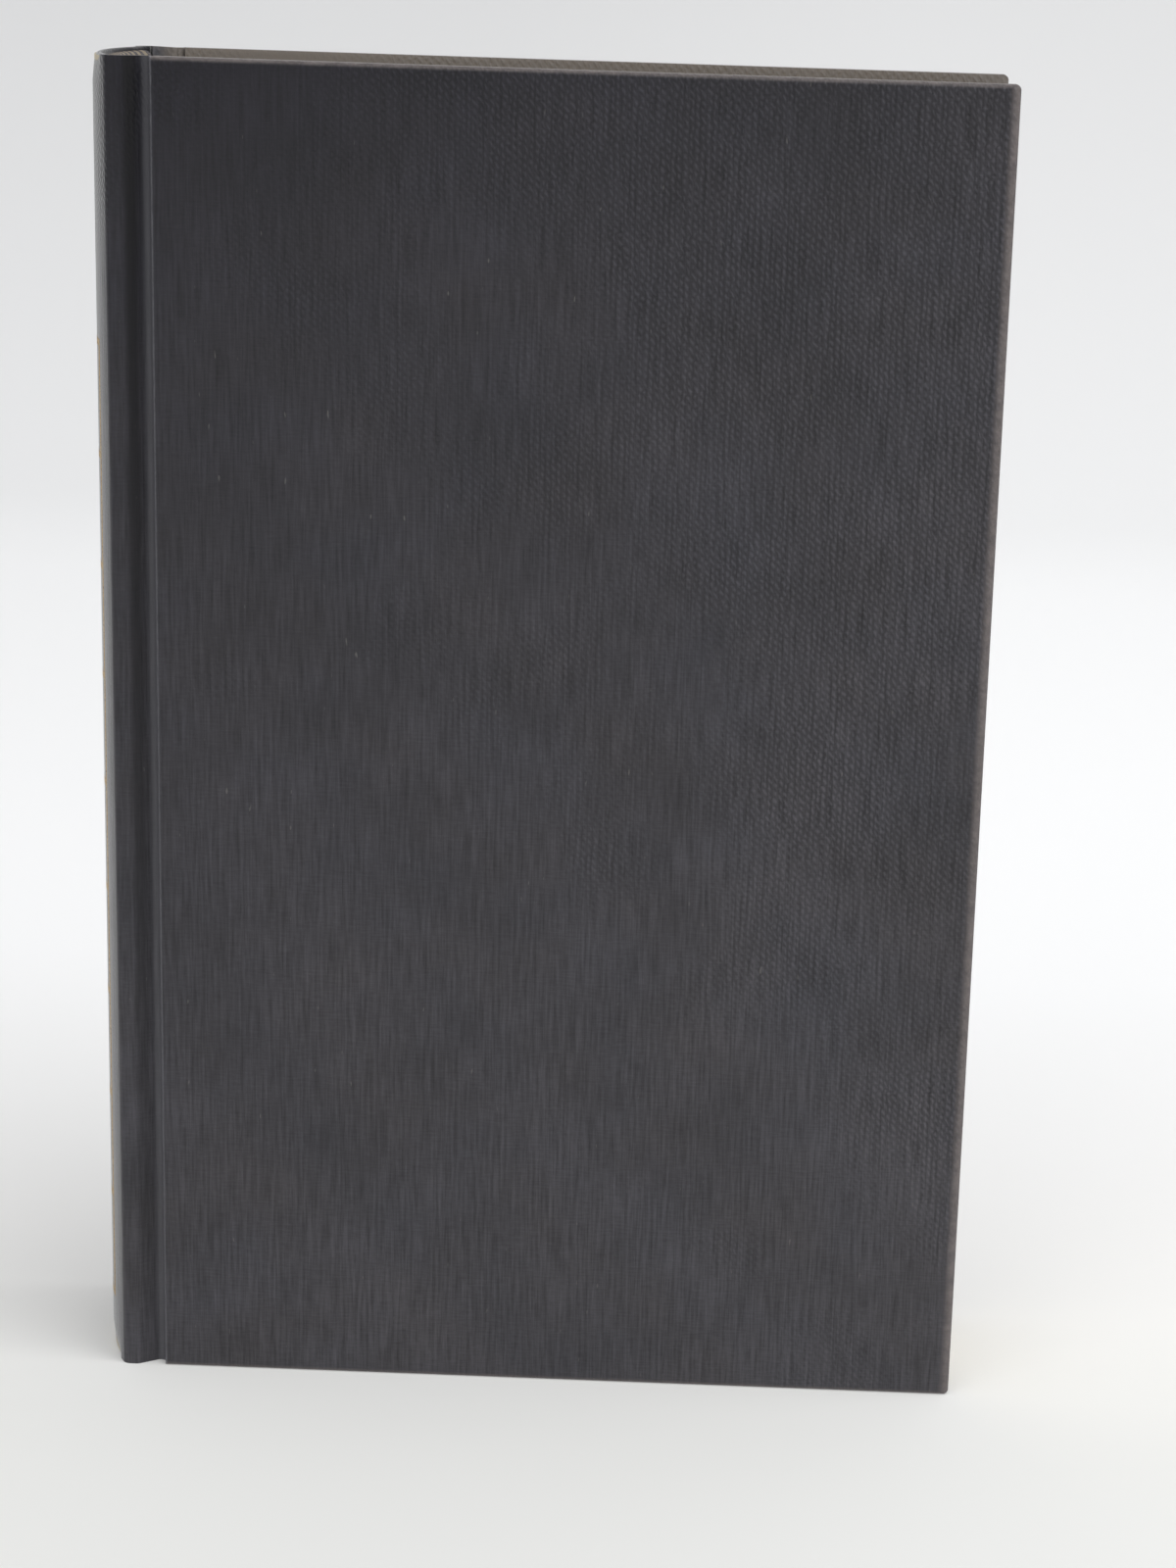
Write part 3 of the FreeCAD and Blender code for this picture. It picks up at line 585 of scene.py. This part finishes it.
def new_piece(mesh, name, body=None, material=None, sharp=SOLID_EDGE):
    """An object of a mesh, smooth but for its sharp edges, riding on its body."""
    piece = new_object(name, mesh)
    if material:
        mesh.materials.clear()
        mesh.materials.append(material)
    shape = bmesh.new()
    shape.from_mesh(mesh)
    for face in shape.faces:
        face.smooth = True
    for edge in shape.edges:
        edge.smooth = len(edge.link_faces) == 2 and edge.calc_face_angle(0.0) < math.radians(sharp)
    shape.to_mesh(mesh)
    shape.free()
    if body:
        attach(piece, body)
    return piece


def run_nodes(mesh, tree, values):
    """The mesh that a Geometry Nodes tree makes of a mesh, with the tree's inputs set by name."""
    carrier = new_object(f"{tree.name} carrier", mesh)
    modifier = carrier.modifiers.new("nodes", "NODES")
    modifier.node_group = tree
    for item in tree.interface.items_tree:
        if item.in_out == "INPUT" and item.name in values:
            modifier[item.identifier] = values[item.name]
    seen = carrier.evaluated_get(bpy.context.evaluated_depsgraph_get())
    made = bpy.data.meshes.new_from_object(seen)
    carrier.modifiers.remove(modifier)
    bpy.data.objects.remove(carrier)
    return made


def new_tree(name, inputs):
    """A Geometry Nodes tree with a mesh in, a mesh out, and its named sizes."""
    tree = bpy.data.node_groups.new(name, "GeometryNodeTree")
    tree.interface.new_socket("Geometry", in_out="INPUT", socket_type="NodeSocketGeometry")
    for title, kind in inputs:
        tree.interface.new_socket(title, in_out="INPUT", socket_type=f"NodeSocket{kind}")
    tree.interface.new_socket("Geometry", in_out="OUTPUT", socket_type="NodeSocketGeometry")
    return tree, add(tree, "NodeGroupInput").outputs


def build_row_tree():
    """Copies of one thing in a straight row, each moved a little at random and given its own tone."""
    tree, given = new_tree("row of copies", (
        ("Count", "Int"), ("First", "Vector"), ("Step", "Vector"), ("Vary", "Vector"),
        ("Seed", "Int"), ("Material", "Material"),
    ))
    line = add(tree, "GeometryNodeMeshLine", {
        "Count": given["Count"], "Start Location": given["First"], "Offset": given["Step"],
    })
    less = add(tree, "ShaderNodeVectorMath", {0: given["Vary"], "Scale": -1.0}, operation="SCALE")
    stray = add(tree, "FunctionNodeRandomValue", {
        0: less.outputs[0], 1: given["Vary"], "Seed": given["Seed"],
    }, data_type="FLOAT_VECTOR")
    moved = add(tree, "GeometryNodeSetPosition", {0: line.outputs[0], "Offset": stray.outputs[0]})
    copies = add(tree, "GeometryNodeInstanceOnPoints", {
        "Points": moved.outputs[0], "Instance": given["Geometry"],
    })
    tone = add(tree, "FunctionNodeRandomValue", {"Seed": given["Seed"]})
    kept = add(tree, "GeometryNodeStoreNamedAttribute", {
        "Geometry": copies.outputs[0], "Name": "leaf", "Value": tone.outputs[1],
    }, data_type="FLOAT", domain="INSTANCE")
    real = add(tree, "GeometryNodeRealizeInstances", {0: kept.outputs[0]})
    done = add(tree, "GeometryNodeSetMaterial", {0: real.outputs[0], "Material": given["Material"]})
    add(tree, "NodeGroupOutput", {0: done.outputs[0]})
    return tree


def build_thread_tree():
    """Turns of thread round an arc, in stripes of two colours."""
    tree, given = new_tree("striped thread", (
        ("Radius", "Float"), ("Start", "Float"), ("Sweep", "Float"), ("Spacing", "Float"),
        ("Stripe", "Int"), ("Pale", "Material"), ("Dark", "Material"),
    ))
    arc = add(tree, "GeometryNodeCurveArc", {
        "Resolution": 60, "Radius": given["Radius"], "Start Angle": given["Start"],
        "Sweep Angle": given["Sweep"],
    })
    points = add(tree, "GeometryNodeCurveToPoints", {
        "Curve": arc.outputs[0], "Length": given["Spacing"],
    }, mode="LENGTH")
    index = add(tree, "GeometryNodeInputIndex")
    share = add(
        tree, "ShaderNodeMath", {0: index.outputs[0], 1: given["Stripe"]}, operation="DIVIDE",
    )
    whole = add(tree, "ShaderNodeMath", {0: share.outputs[0]}, operation="FLOOR")
    odd = add(tree, "ShaderNodeMath", {0: whole.outputs[0], 1: 2.0}, operation="MODULO")
    even = add(tree, "ShaderNodeMath", {0: 1.0, 1: odd.outputs[0]}, operation="SUBTRACT")
    joined = add(tree, "GeometryNodeJoinGeometry")
    for chosen, silk in ((odd, given["Pale"]), (even, given["Dark"])):
        turns = add(tree, "GeometryNodeInstanceOnPoints", {
            "Points": points.outputs[0], "Selection": chosen.outputs[0],
            "Instance": given["Geometry"], "Rotation": points.outputs["Rotation"],
        })
        real = add(tree, "GeometryNodeRealizeInstances", {0: turns.outputs[0]})
        dyed = add(tree, "GeometryNodeSetMaterial", {0: real.outputs[0], "Material": silk})
        tree.links.new(dyed.outputs[0], joined.inputs[0])
    add(tree, "NodeGroupOutput", {0: joined.outputs[0]})
    return tree


ARC_STEPS = 8
GROOVE_START = math.radians(-80)


def round_points(x, depth, radius, first, last, steps):
    """Points of X and depth round a centre, between two angles counted from the outward direction
    towards the fore-edge. A hollow's radius is negative."""
    angles = [first + (last - first) * step / steps for step in range(steps + 1)]
    return [(x + radius * math.sin(angle), depth - radius * math.cos(angle)) for angle in angles]


def case_line(side):
    """The case's outer face, from a groove's wall over its shoulder to the top of the spine: points in
    X and Y, on the front or rear side."""
    shoulder_depth = RIDGE_DROP + SHOULDER_ROUND
    rise = HALF_THICK - shoulder_depth
    reach = math.sqrt((SPINE_ROUND - SHOULDER_ROUND) ** 2 - rise ** 2)
    shoulder_x = SPINE_X - reach
    ridge_end = shoulder_x + RIDGE_FLAT
    valley_depth = JOINT_DEEP - VALLEY_ROUND
    run = VALLEY_X - ridge_end
    fall = valley_depth - shoulder_depth
    slope = math.asin((SHOULDER_ROUND + VALLEY_ROUND) / math.hypot(run, fall)) + math.atan2(fall, run)
    turn = math.pi / 2 - math.atan2(rise, reach)
    points = [
        *round_points(VALLEY_X, valley_depth, -VALLEY_ROUND, GROOVE_START, slope, 2 * ARC_STEPS),
        *round_points(ridge_end, shoulder_depth, SHOULDER_ROUND, slope, 0, ARC_STEPS),
        *round_points(shoulder_x, shoulder_depth, SHOULDER_ROUND, 0, -turn, ARC_STEPS),
        *round_points(SPINE_X, HALF_THICK, SPINE_ROUND, -turn, -math.pi / 2, 3 * ARC_STEPS)[1:],
    ]
    return [Vector((x, side * (HALF_THICK - depth), 0)) for x, depth in points]


def lengths_along(line):
    """The length of a line up to each of its points."""
    total = [0.0]
    for first, second in zip(line, line[1:]):
        total.append(total[-1] + (second - first).length)
    return total


def inward_along(line):
    """For each point of a line that runs from the front side to the rear, the way into the book."""
    ways = []
    for index in range(len(line)):
        along = line[min(index + 1, len(line) - 1)] - line[max(index - 1, 0)]
        ways.append(Vector((along.y, -along.x, 0)).normalized())
    return ways


def loft(name, line, section, shift=None, zero=0.0, way=-1):
    """A closed skin: the section, pairs of depth and height, is carried along a line in X and Y. The
    cloth's threads are laid out in millimetres along it, from zero at its first point, the way told."""
    shape = bmesh.new()
    layer = shape.loops.layers.uv.new("cloth")
    inward = inward_along(line)
    lengths = lengths_along(line)
    rings = []
    for index, point in enumerate(line):
        ring = []
        for depth, height in section:
            deep = depth + (shift(point, height) if shift else 0.0)
            at = point + inward[index] * deep
            ring.append(shape.verts.new((at.x, at.y, height)))
        rings.append(ring)
    count = len(section)
    for index in range(len(line) - 1):
        for turn in range(count):
            after = (turn + 1) % count
            corners = (
                (rings[index][turn], lengths[index]), (rings[index + 1][turn], lengths[index + 1]),
                (rings[index + 1][after], lengths[index + 1]), (rings[index][after], lengths[index]),
            )
            face = shape.faces.new([vertex for vertex, length in corners])
            for loop, (vertex, length) in zip(face.loops, corners):
                loop[layer].uv = ((zero + way * length) / MM, vertex.co.z / MM)
    for ring in (rings[0], rings[-1]):
        face = shape.faces.new(ring)
        for loop in face.loops:
            loop[layer].uv = (loop.vert.co.y / MM, loop.vert.co.z / MM)
        bmesh.ops.triangulate(shape, faces=[face])
    return finished_mesh(shape, name)


# Boards and papers: merged copies of their solids, with the cloth's map laid on them from the side
# that each face looks to

MERGE = 1e-6
FACING = 0.7


def dress(node, body, material):
    mesh = frame["nodes"][node].data.copy()
    shape = bmesh.new()
    shape.from_mesh(mesh)
    bmesh.ops.remove_doubles(shape, verts=shape.verts, dist=MERGE)
    shape.to_mesh(mesh)
    shape.free()
    layer = mesh.uv_layers.new(name="cloth")
    for polygon in mesh.polygons:
        for loop in polygon.loop_indices:
            at = mesh.vertices[mesh.loops[loop].vertex_index].co / MM
            if abs(polygon.normal.y) > FACING:
                spot = (at.x, at.z)
            elif abs(polygon.normal.z) > FACING:
                spot = (at.x, at.z + at.y)
            else:
                spot = (at.x + at.y, at.z)
            layer.data[loop].uv = spot
    piece = new_piece(mesh, f"{node}_finished", body, material)
    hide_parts(node)


for word in WORDS.values():
    cover = f"{word}_cover"
    dress(f"{word}_cover_cloth", cover, BOARD_CLOTH)
    dress(f"{word}_board", cover, MILLBOARD)
    dress(f"{word}_pastedown", cover, ENDPAPER)
    dress(f"{word}_mull_flap", cover, GAUZE)
    dress(f"{word}_flyleaf", PAGE_BODY, ENDPAPER)
dress("spine_card", PAGE_BODY, FOLDING_CARD)
dress("spine_mull", PAGE_BODY, GAUZE)
dress("spine_lining", PAGE_BODY, KRAFT)
dress("head_band", PAGE_BODY, PALE_SILK)
dress("tail_band", PAGE_BODY, PALE_SILK)


# Cloth of the spine: turned in over the card at head and tail, its ends drawn in over the headbands

CAP_PULL = 0.6 * MM
CAP_RUN = 5.0 * MM
CAP_STILL = 1.5 * MM
CAP_EASE = 4 * MM
HEIGHT_STEPS = 24
FOLD_STEPS = 8


def cap_shift(point, height):
    """How far the cloth is drawn in, most at the ends and nothing at the shoulders."""
    near = min(height - FOOT, HEAD - height)
    end = max(0.0, 1 - near / CAP_RUN) ** 2
    middle = min(1.0, max(0.0, (HALF_THICK - CAP_STILL - abs(point.y)) / CAP_EASE))
    return CAP_PULL * end * middle


def fold_section():
    """The cloth's section in depth and height, with a round fold over the card at each end."""
    deep = 2 * CLOTH + CARD
    fold = deep / 2
    tall = HEAD - FOOT - 2 * fold
    turns = [math.pi * step / FOLD_STEPS for step in range(1, FOLD_STEPS)]
    section = []
    for step in range(HEIGHT_STEPS + 1):
        share = 0.5 - 0.5 * math.cos(math.pi * step / HEIGHT_STEPS)
        section.append((0.0, FOOT + fold + tall * share))
    for angle in turns:
        section.append((fold - fold * math.cos(angle), HEAD - fold + fold * math.sin(angle)))
    section += [
        (deep, HEAD - fold), (deep, HEAD - CAP_RUN), (deep, HEAD - TURN_IN),
        (deep - CLOTH, HEAD - TURN_IN), (deep - CLOTH, HEAD - CAP_RUN), (deep - CLOTH, HEAD - 2 * CLOTH),
        (CLOTH, HEAD - 2 * CLOTH), (CLOTH, HEAD - CAP_RUN), (CLOTH, FOOT + CAP_RUN),
        (CLOTH, FOOT + 2 * CLOTH),
        (deep - CLOTH, FOOT + 2 * CLOTH), (deep - CLOTH, FOOT + CAP_RUN), (deep - CLOTH, FOOT + TURN_IN),
        (deep, FOOT + TURN_IN), (deep, FOOT + CAP_RUN), (deep, FOOT + fold),
    ]
    for angle in turns:
        section.append((fold + fold * math.cos(angle), FOOT + fold - fold * math.sin(angle)))
    return section


whole = case_line(FRONT) + case_line(REAR)[-2::-1]
spine_edge = HINGES["front_cover"].x - HINGE_SLIT / 2
spine_line = [point for point in whole if point.x < spine_edge]
first = Vector((spine_edge, spine_line[0].y, 0))
last = Vector((spine_edge, spine_line[-1].y, 0))
spine_line = [first] + spine_line + [last]
spine = new_piece(
    loft("spine_cloth_turned_in", spine_line, fold_section(), cap_shift, spine_edge),
    "spine_cloth_turned_in", PAGE_BODY, SPINE_CLOTH, FOLD_EDGE,
)
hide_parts("spine_cloth")


# Cloth over each bend: a thin skin over the groove and shoulder on each side, given no body

SKIN = 0.02 * MM
BEND_DEPTH = 3 * MM
BEND_STEPS = 8
bend_heights = [FOOT + (HEAD - FOOT) * step / BEND_STEPS for step in range(BEND_STEPS + 1)]
bend_section = [(-SKIN, height) for height in bend_heights]
bend_section += [(SKIN, height) for height in reversed(bend_heights)]
for side, word in WORDS.items():
    cover = f"{word}_cover"
    half = [point for point in case_line(side) if abs(point.y) > HALF_THICK - BEND_DEPTH]
    bend_line = half if side == FRONT else half[::-1]
    zero = JOINT_X if side == FRONT else JOINT_X - lengths_along(half)[-1]
    piece = new_piece(
        loft(f"{cover}_bend_cloth", bend_line, bend_section, None, zero, side), f"{cover}_bend_cloth",
        None, SPINE_CLOTH, STRIP_EDGE,
    )
    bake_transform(piece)


# Endpaper across each inner hinge: from the flyleaf up the shoulder of the pages, and back down under
# the groove to the pastedown. Two strips stay whole, each with its own body, and a fold joins them.

PAPER = 0.12 * MM
GAP = 0.06 * MM
FOLD = 0.42 * MM
GROOVE_SLOPE = math.radians(34.2)
GROOVE_STEPS = 6
LEAF_LAP = 1.5 * MM
EASE_RUN = 0.6 * MM
EASE_DROP = 0.29 * MM
CREST_OUT = 0.1 * MM


def paper_strip(name, side, path):
    """A strip of endpaper as tall as the pastedown, along a path of X and depth."""
    line = [Vector((x, side * y, 0)) for x, y in path]
    if side == FRONT:
        line.reverse()
    low = PASTE_LOW.z
    high = PASTE_HIGH.z
    section = [(-PAPER / 2, low), (-PAPER / 2, high), (PAPER / 2, high), (PAPER / 2, low)]
    piece = new_piece(loft(name, line, section), name, None, ENDPAPER, STRIP_EDGE)
    return piece


leaf_y = -LEAF_LOW.y + GAP
crest_x = SHOULDER_X + CREST_OUT
crest_y = SHOULDER_HALF + 2 * GAP
valley_y = HALF_THICK - JOINT_DEEP + VALLEY_ROUND
under = VALLEY_ROUND + 2 * CLOTH + GAP
on_pages = [
    (LEAF_LOW.x + LEAF_LAP, leaf_y), (SHOULDER_FOOT_X, leaf_y),
    (SHOULDER_X + EASE_RUN, crest_y - EASE_DROP), (crest_x, crest_y),
]
on_board = [(crest_x, crest_y + FOLD)]
for step in range(GROOVE_STEPS + 1):
    angle = GROOVE_SLOPE * (1 - step / GROOVE_STEPS)
    on_board.append((VALLEY_X - under * math.sin(angle), valley_y - under * math.cos(angle)))
on_board.append((PASTE_LOW.x, valley_y - under))
for side, word in WORDS.items():
    cover = f"{word}_cover"
    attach(paper_strip(f"{word}_endpaper_on_pages", side, on_pages), PAGE_BODY)
    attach(paper_strip(f"{word}_endpaper_on_board", side, on_board), cover)
    fold = paper_strip(f"{word}_endpaper_fold", side, [on_pages[-1], on_board[0]])
    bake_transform(fold)


# Pages: a stack of single leaves, trimmed a little unevenly, fanned out to the shoulders at the back

LEAVES = 176
LEAF_SHARE = 0.86
TRIM = 0.1 * MM
BACK_TRIM = 0.05 * MM
UNEVEN = 0.05 * MM
FAN_RUN = 8 * MM
FAN_STEPS = 6
row_tree = build_row_tree()


def single_leaf(thick):
    """One leaf about the plane of X and Z, with more points near the back, where it will bend."""
    low = BLOCK_LOW.z + TRIM
    high = BLOCK_HIGH.z - TRIM
    back = BLOCK_LOW.x + BACK_TRIM
    hollow = BACK_ROUND - math.sqrt(BACK_ROUND ** 2 - BLOCK_HALF ** 2)
    fore = BLOCK_HIGH.x - hollow - TRIM
    stations = [back + FAN_RUN * step / FAN_STEPS for step in range(FAN_STEPS + 1)] + [fore]
    corners = ((-thick / 2, low), (thick / 2, low), (thick / 2, high), (-thick / 2, high))
    shape = bmesh.new()
    rings = [[shape.verts.new((x, y, z)) for y, z in corners] for x in stations]
    for first, second in zip(rings, rings[1:]):
        for turn in range(4):
            after = (turn + 1) % 4
            shape.faces.new((first[turn], first[after], second[after], second[turn]))
    shape.faces.new(rings[0][::-1])
    shape.faces.new(rings[-1])
    return finished_mesh(shape, "single leaf")


def build_leaves():
    """The row of leaves, bent to the round of the back. Each point's shift along X depends on its
    spread, and the spread on the shift, so both are worked out twice."""
    pitch = 2 * BLOCK_HALF / LEAVES
    mesh = run_nodes(single_leaf(pitch * LEAF_SHARE), row_tree, {
        "Count": LEAVES, "First": (0, -BLOCK_HALF + pitch / 2, 0), "Step": (0, pitch, 0),
        "Vary": (UNEVEN, 0, UNEVEN), "Seed": 7, "Material": PAGES,
    })
    flare_run = SHOULDER_FOOT_X - SHOULDER_X
    for vertex in mesh.vertices:
        x, y, z = vertex.co
        shift = 0.0
        for turn in range(2):
            fan = min(1.0, max(0.0, (SHOULDER_FOOT_X - x - shift) / flare_run))
            spread = y * (1 + (SHOULDER_HALF / BLOCK_HALF - 1) * fan)
            shift = BACK_ROUND - math.sqrt(BACK_ROUND ** 2 - spread ** 2)
        vertex.co = (x + shift, spread, z)
    return mesh


leaves = new_piece(build_leaves(), "page_leaves", PAGE_BODY)
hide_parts("text_block")


# Headbands: turns of silk round each bead, three fawn and three charcoal

SILK = 0.36 * MM
SILK_SHARE = 0.8
STRIPE = 3
BAND_END = 0.006
RING_STEPS = 12
THREAD_SIDES = 4


def build_turn(radius, thread):
    """One turn of thread as a ring about Z."""
    shape = bmesh.new()
    grid = []
    for step in range(RING_STEPS):
        around = 2 * math.pi * step / RING_STEPS
        ring = []
        for turn in range(THREAD_SIDES):
            angle = 2 * math.pi * turn / THREAD_SIDES
            reach = radius + thread / 2 * math.cos(angle)
            ring.append(shape.verts.new((
                reach * math.cos(around), reach * math.sin(around), thread / 2 * math.sin(angle),
            )))
        grid.append(ring)
    for step in range(RING_STEPS):
        here = grid[step]
        beyond = grid[(step + 1) % RING_STEPS]
        for turn in range(THREAD_SIDES):
            after = (turn + 1) % THREAD_SIDES
            shape.faces.new((here[turn], beyond[turn], beyond[after], here[after]))
    return finished_mesh(shape, "turn of silk")


thread_tree = build_thread_tree()
bead_path = SPINE_X - BAND_LOW.x - BAND_BEAD / 2
band_half = math.asin(BAND_HIGH.y / (SPINE_X - BAND_LOW.x))
for name, height in (
    ("head_band", BAND_HIGH.z - BAND_BEAD / 2),
    ("tail_band", FOOT + HEAD - BAND_HIGH.z + BAND_BEAD / 2),
):
    turns = run_nodes(build_turn(BAND_BEAD / 2, SILK * SILK_SHARE), thread_tree, {
        "Radius": bead_path, "Start": math.pi - band_half + BAND_END,
        "Sweep": 2 * band_half - 2 * BAND_END, "Spacing": SILK, "Stripe": STRIPE,
        "Pale": PALE_SILK, "Dark": DARK_SILK,
    })
    turns.transform(Matrix.Translation((SPINE_X, 0, height)))
    piece = new_piece(turns, f"{name}_silk", PAGE_BODY, None, STRIP_EDGE)


# Gilt on the spine: two long plain rules, and short ones across between them

RULE = 1.2 * MM
RULES_HALF = 12.6 * MM
RULES_INNER = RULES_HALF - RULE
RULES_LOW = FOOT + 10 * MM
RULES_HIGH = FOOT + 177 * MM
CROSSINGS = 10
FOIL_OUT = 0.02 * MM


def foil_strip(name, from_arc, to_arc, low, high):
    """Foil between two distances round the spine and two heights."""
    steps = max(2, round((to_arc - from_arc) / MM))
    line = []
    for step in range(steps + 1):
        angle = (from_arc + (to_arc - from_arc) * step / steps) / SPINE_ROUND
        line.append(Vector((SPINE_X - SPINE_ROUND * math.cos(angle), SPINE_ROUND * math.sin(angle), 0)))
    section = [(-FOIL_OUT, low), (-FOIL_OUT, high), (FOIL_OUT / 2, high), (FOIL_OUT / 2, low)]
    return loft(name, line, section)


for side, word in WORDS.items():
    arcs = sorted((side * RULES_HALF, side * RULES_INNER))
    mesh = foil_strip(f"gilt_{word}_rule", *arcs, RULES_LOW, RULES_HIGH)
    new_piece(mesh, f"gilt_{word}_rule", PAGE_BODY, GILT, STRIP_EDGE)
apart = (RULES_HIGH - RULES_LOW - RULE) / (CROSSINGS - 1)
crossing = foil_strip("gilt crossing", -RULES_INNER, RULES_INNER, RULES_LOW, RULES_LOW + RULE)
mesh = run_nodes(crossing, row_tree, {
    "Count": CROSSINGS, "First": (0, 0, 0), "Step": (0, 0, apart), "Vary": (0, 0, 0), "Seed": 1,
    "Material": GILT,
})
new_piece(mesh, "gilt_crossings", PAGE_BODY, None, STRIP_EDGE)


# Camera, where the photograph was taken from; the shifts are those of its framing

FOCAL_PX = 3633.0
LONG_PX = 1600.0
SENSOR = 36.0
SHIFT_X = -0.0625
SHIFT_Y = 0.125
YAW = -0.01579
PITCH = 0.29518
ROLL = 0.03224
CAMERA_AT = (35.38 * MM, -592.74 * MM, 248.52 * MM)
camera_data = bpy.data.cameras.new("camera")
camera_data.sensor_width = SENSOR
camera_data.lens = FOCAL_PX / LONG_PX * SENSOR
camera_data.shift_x = SHIFT_X
camera_data.shift_y = SHIFT_Y
camera_data.clip_start = 0.01
camera_data.clip_end = 20
camera = new_object("camera", camera_data)
camera.location = CAMERA_AT
turned = Euler((math.pi / 2 - PITCH, 0, -YAW)).to_matrix() @ Matrix.Rotation(ROLL, 3, "Z")
camera.rotation_euler = turned.to_euler()
bpy.context.scene.camera = camera


# Floor that curves up into a wall behind the book

SWEEP_HALF = 3.0
SWEEP_BEND = 0.5
SWEEP_STEPS = 24
WALL_Y = 1.4
WALL_TALL = 2.5
FLOOR_NEAR = -2.5
bend_y = WALL_Y - SWEEP_BEND
profile = [(FLOOR_NEAR, 0.0), (bend_y, 0.0)]
for step in range(1, SWEEP_STEPS + 1):
    angle = math.pi / 2 * step / SWEEP_STEPS
    profile.append((bend_y + SWEEP_BEND * math.sin(angle), SWEEP_BEND - SWEEP_BEND * math.cos(angle)))
profile.append((WALL_Y, WALL_TALL))
shape = bmesh.new()
left, right = [[shape.verts.new((x, y, z)) for y, z in profile] for x in (-SWEEP_HALF, SWEEP_HALF)]
for index in range(len(profile) - 1):
    shape.faces.new((left[index], right[index], right[index + 1], left[index + 1]))
for face in shape.faces:
    face.smooth = True
sweep = new_object("sweep", finished_mesh(shape, "sweep", False))
sweep.data.materials.append(sweep_paper("pale paper sweep"))


# Light: a large soft lamp high on the right, a smaller one low on the left, and an even pale room

LIT_POINT = Vector((0, 0, 0.1))
ROOM_COLOUR = (0.97, 0.98, 1.0, 1.0)
ROOM_STRENGTH = 0.58


def soft_lamp(name, place, size, power):
    data = bpy.data.lights.new(name, "AREA")
    data.shape = "DISK"
    data.size = size
    data.energy = power
    lamp = new_object(name, data)
    lamp.location = place
    lamp.rotation_euler = (LIT_POINT - Vector(place)).to_track_quat("-Z", "Y").to_euler()


soft_lamp("lamp high on the right", (1.1, -0.7, 1.9), 2.4, 27)
soft_lamp("lamp at the left front", (-0.9, -1.6, 1.0), 1.6, 9)
world = bpy.data.worlds.new("pale room")
world.use_nodes = True
bpy.context.scene.world = world
room = world.node_tree.nodes["Background"]
room.inputs["Color"].default_value = ROOM_COLOUR
room.inputs["Strength"].default_value = ROOM_STRENGTH
bpy.context.scene.view_settings.view_transform = "Standard"
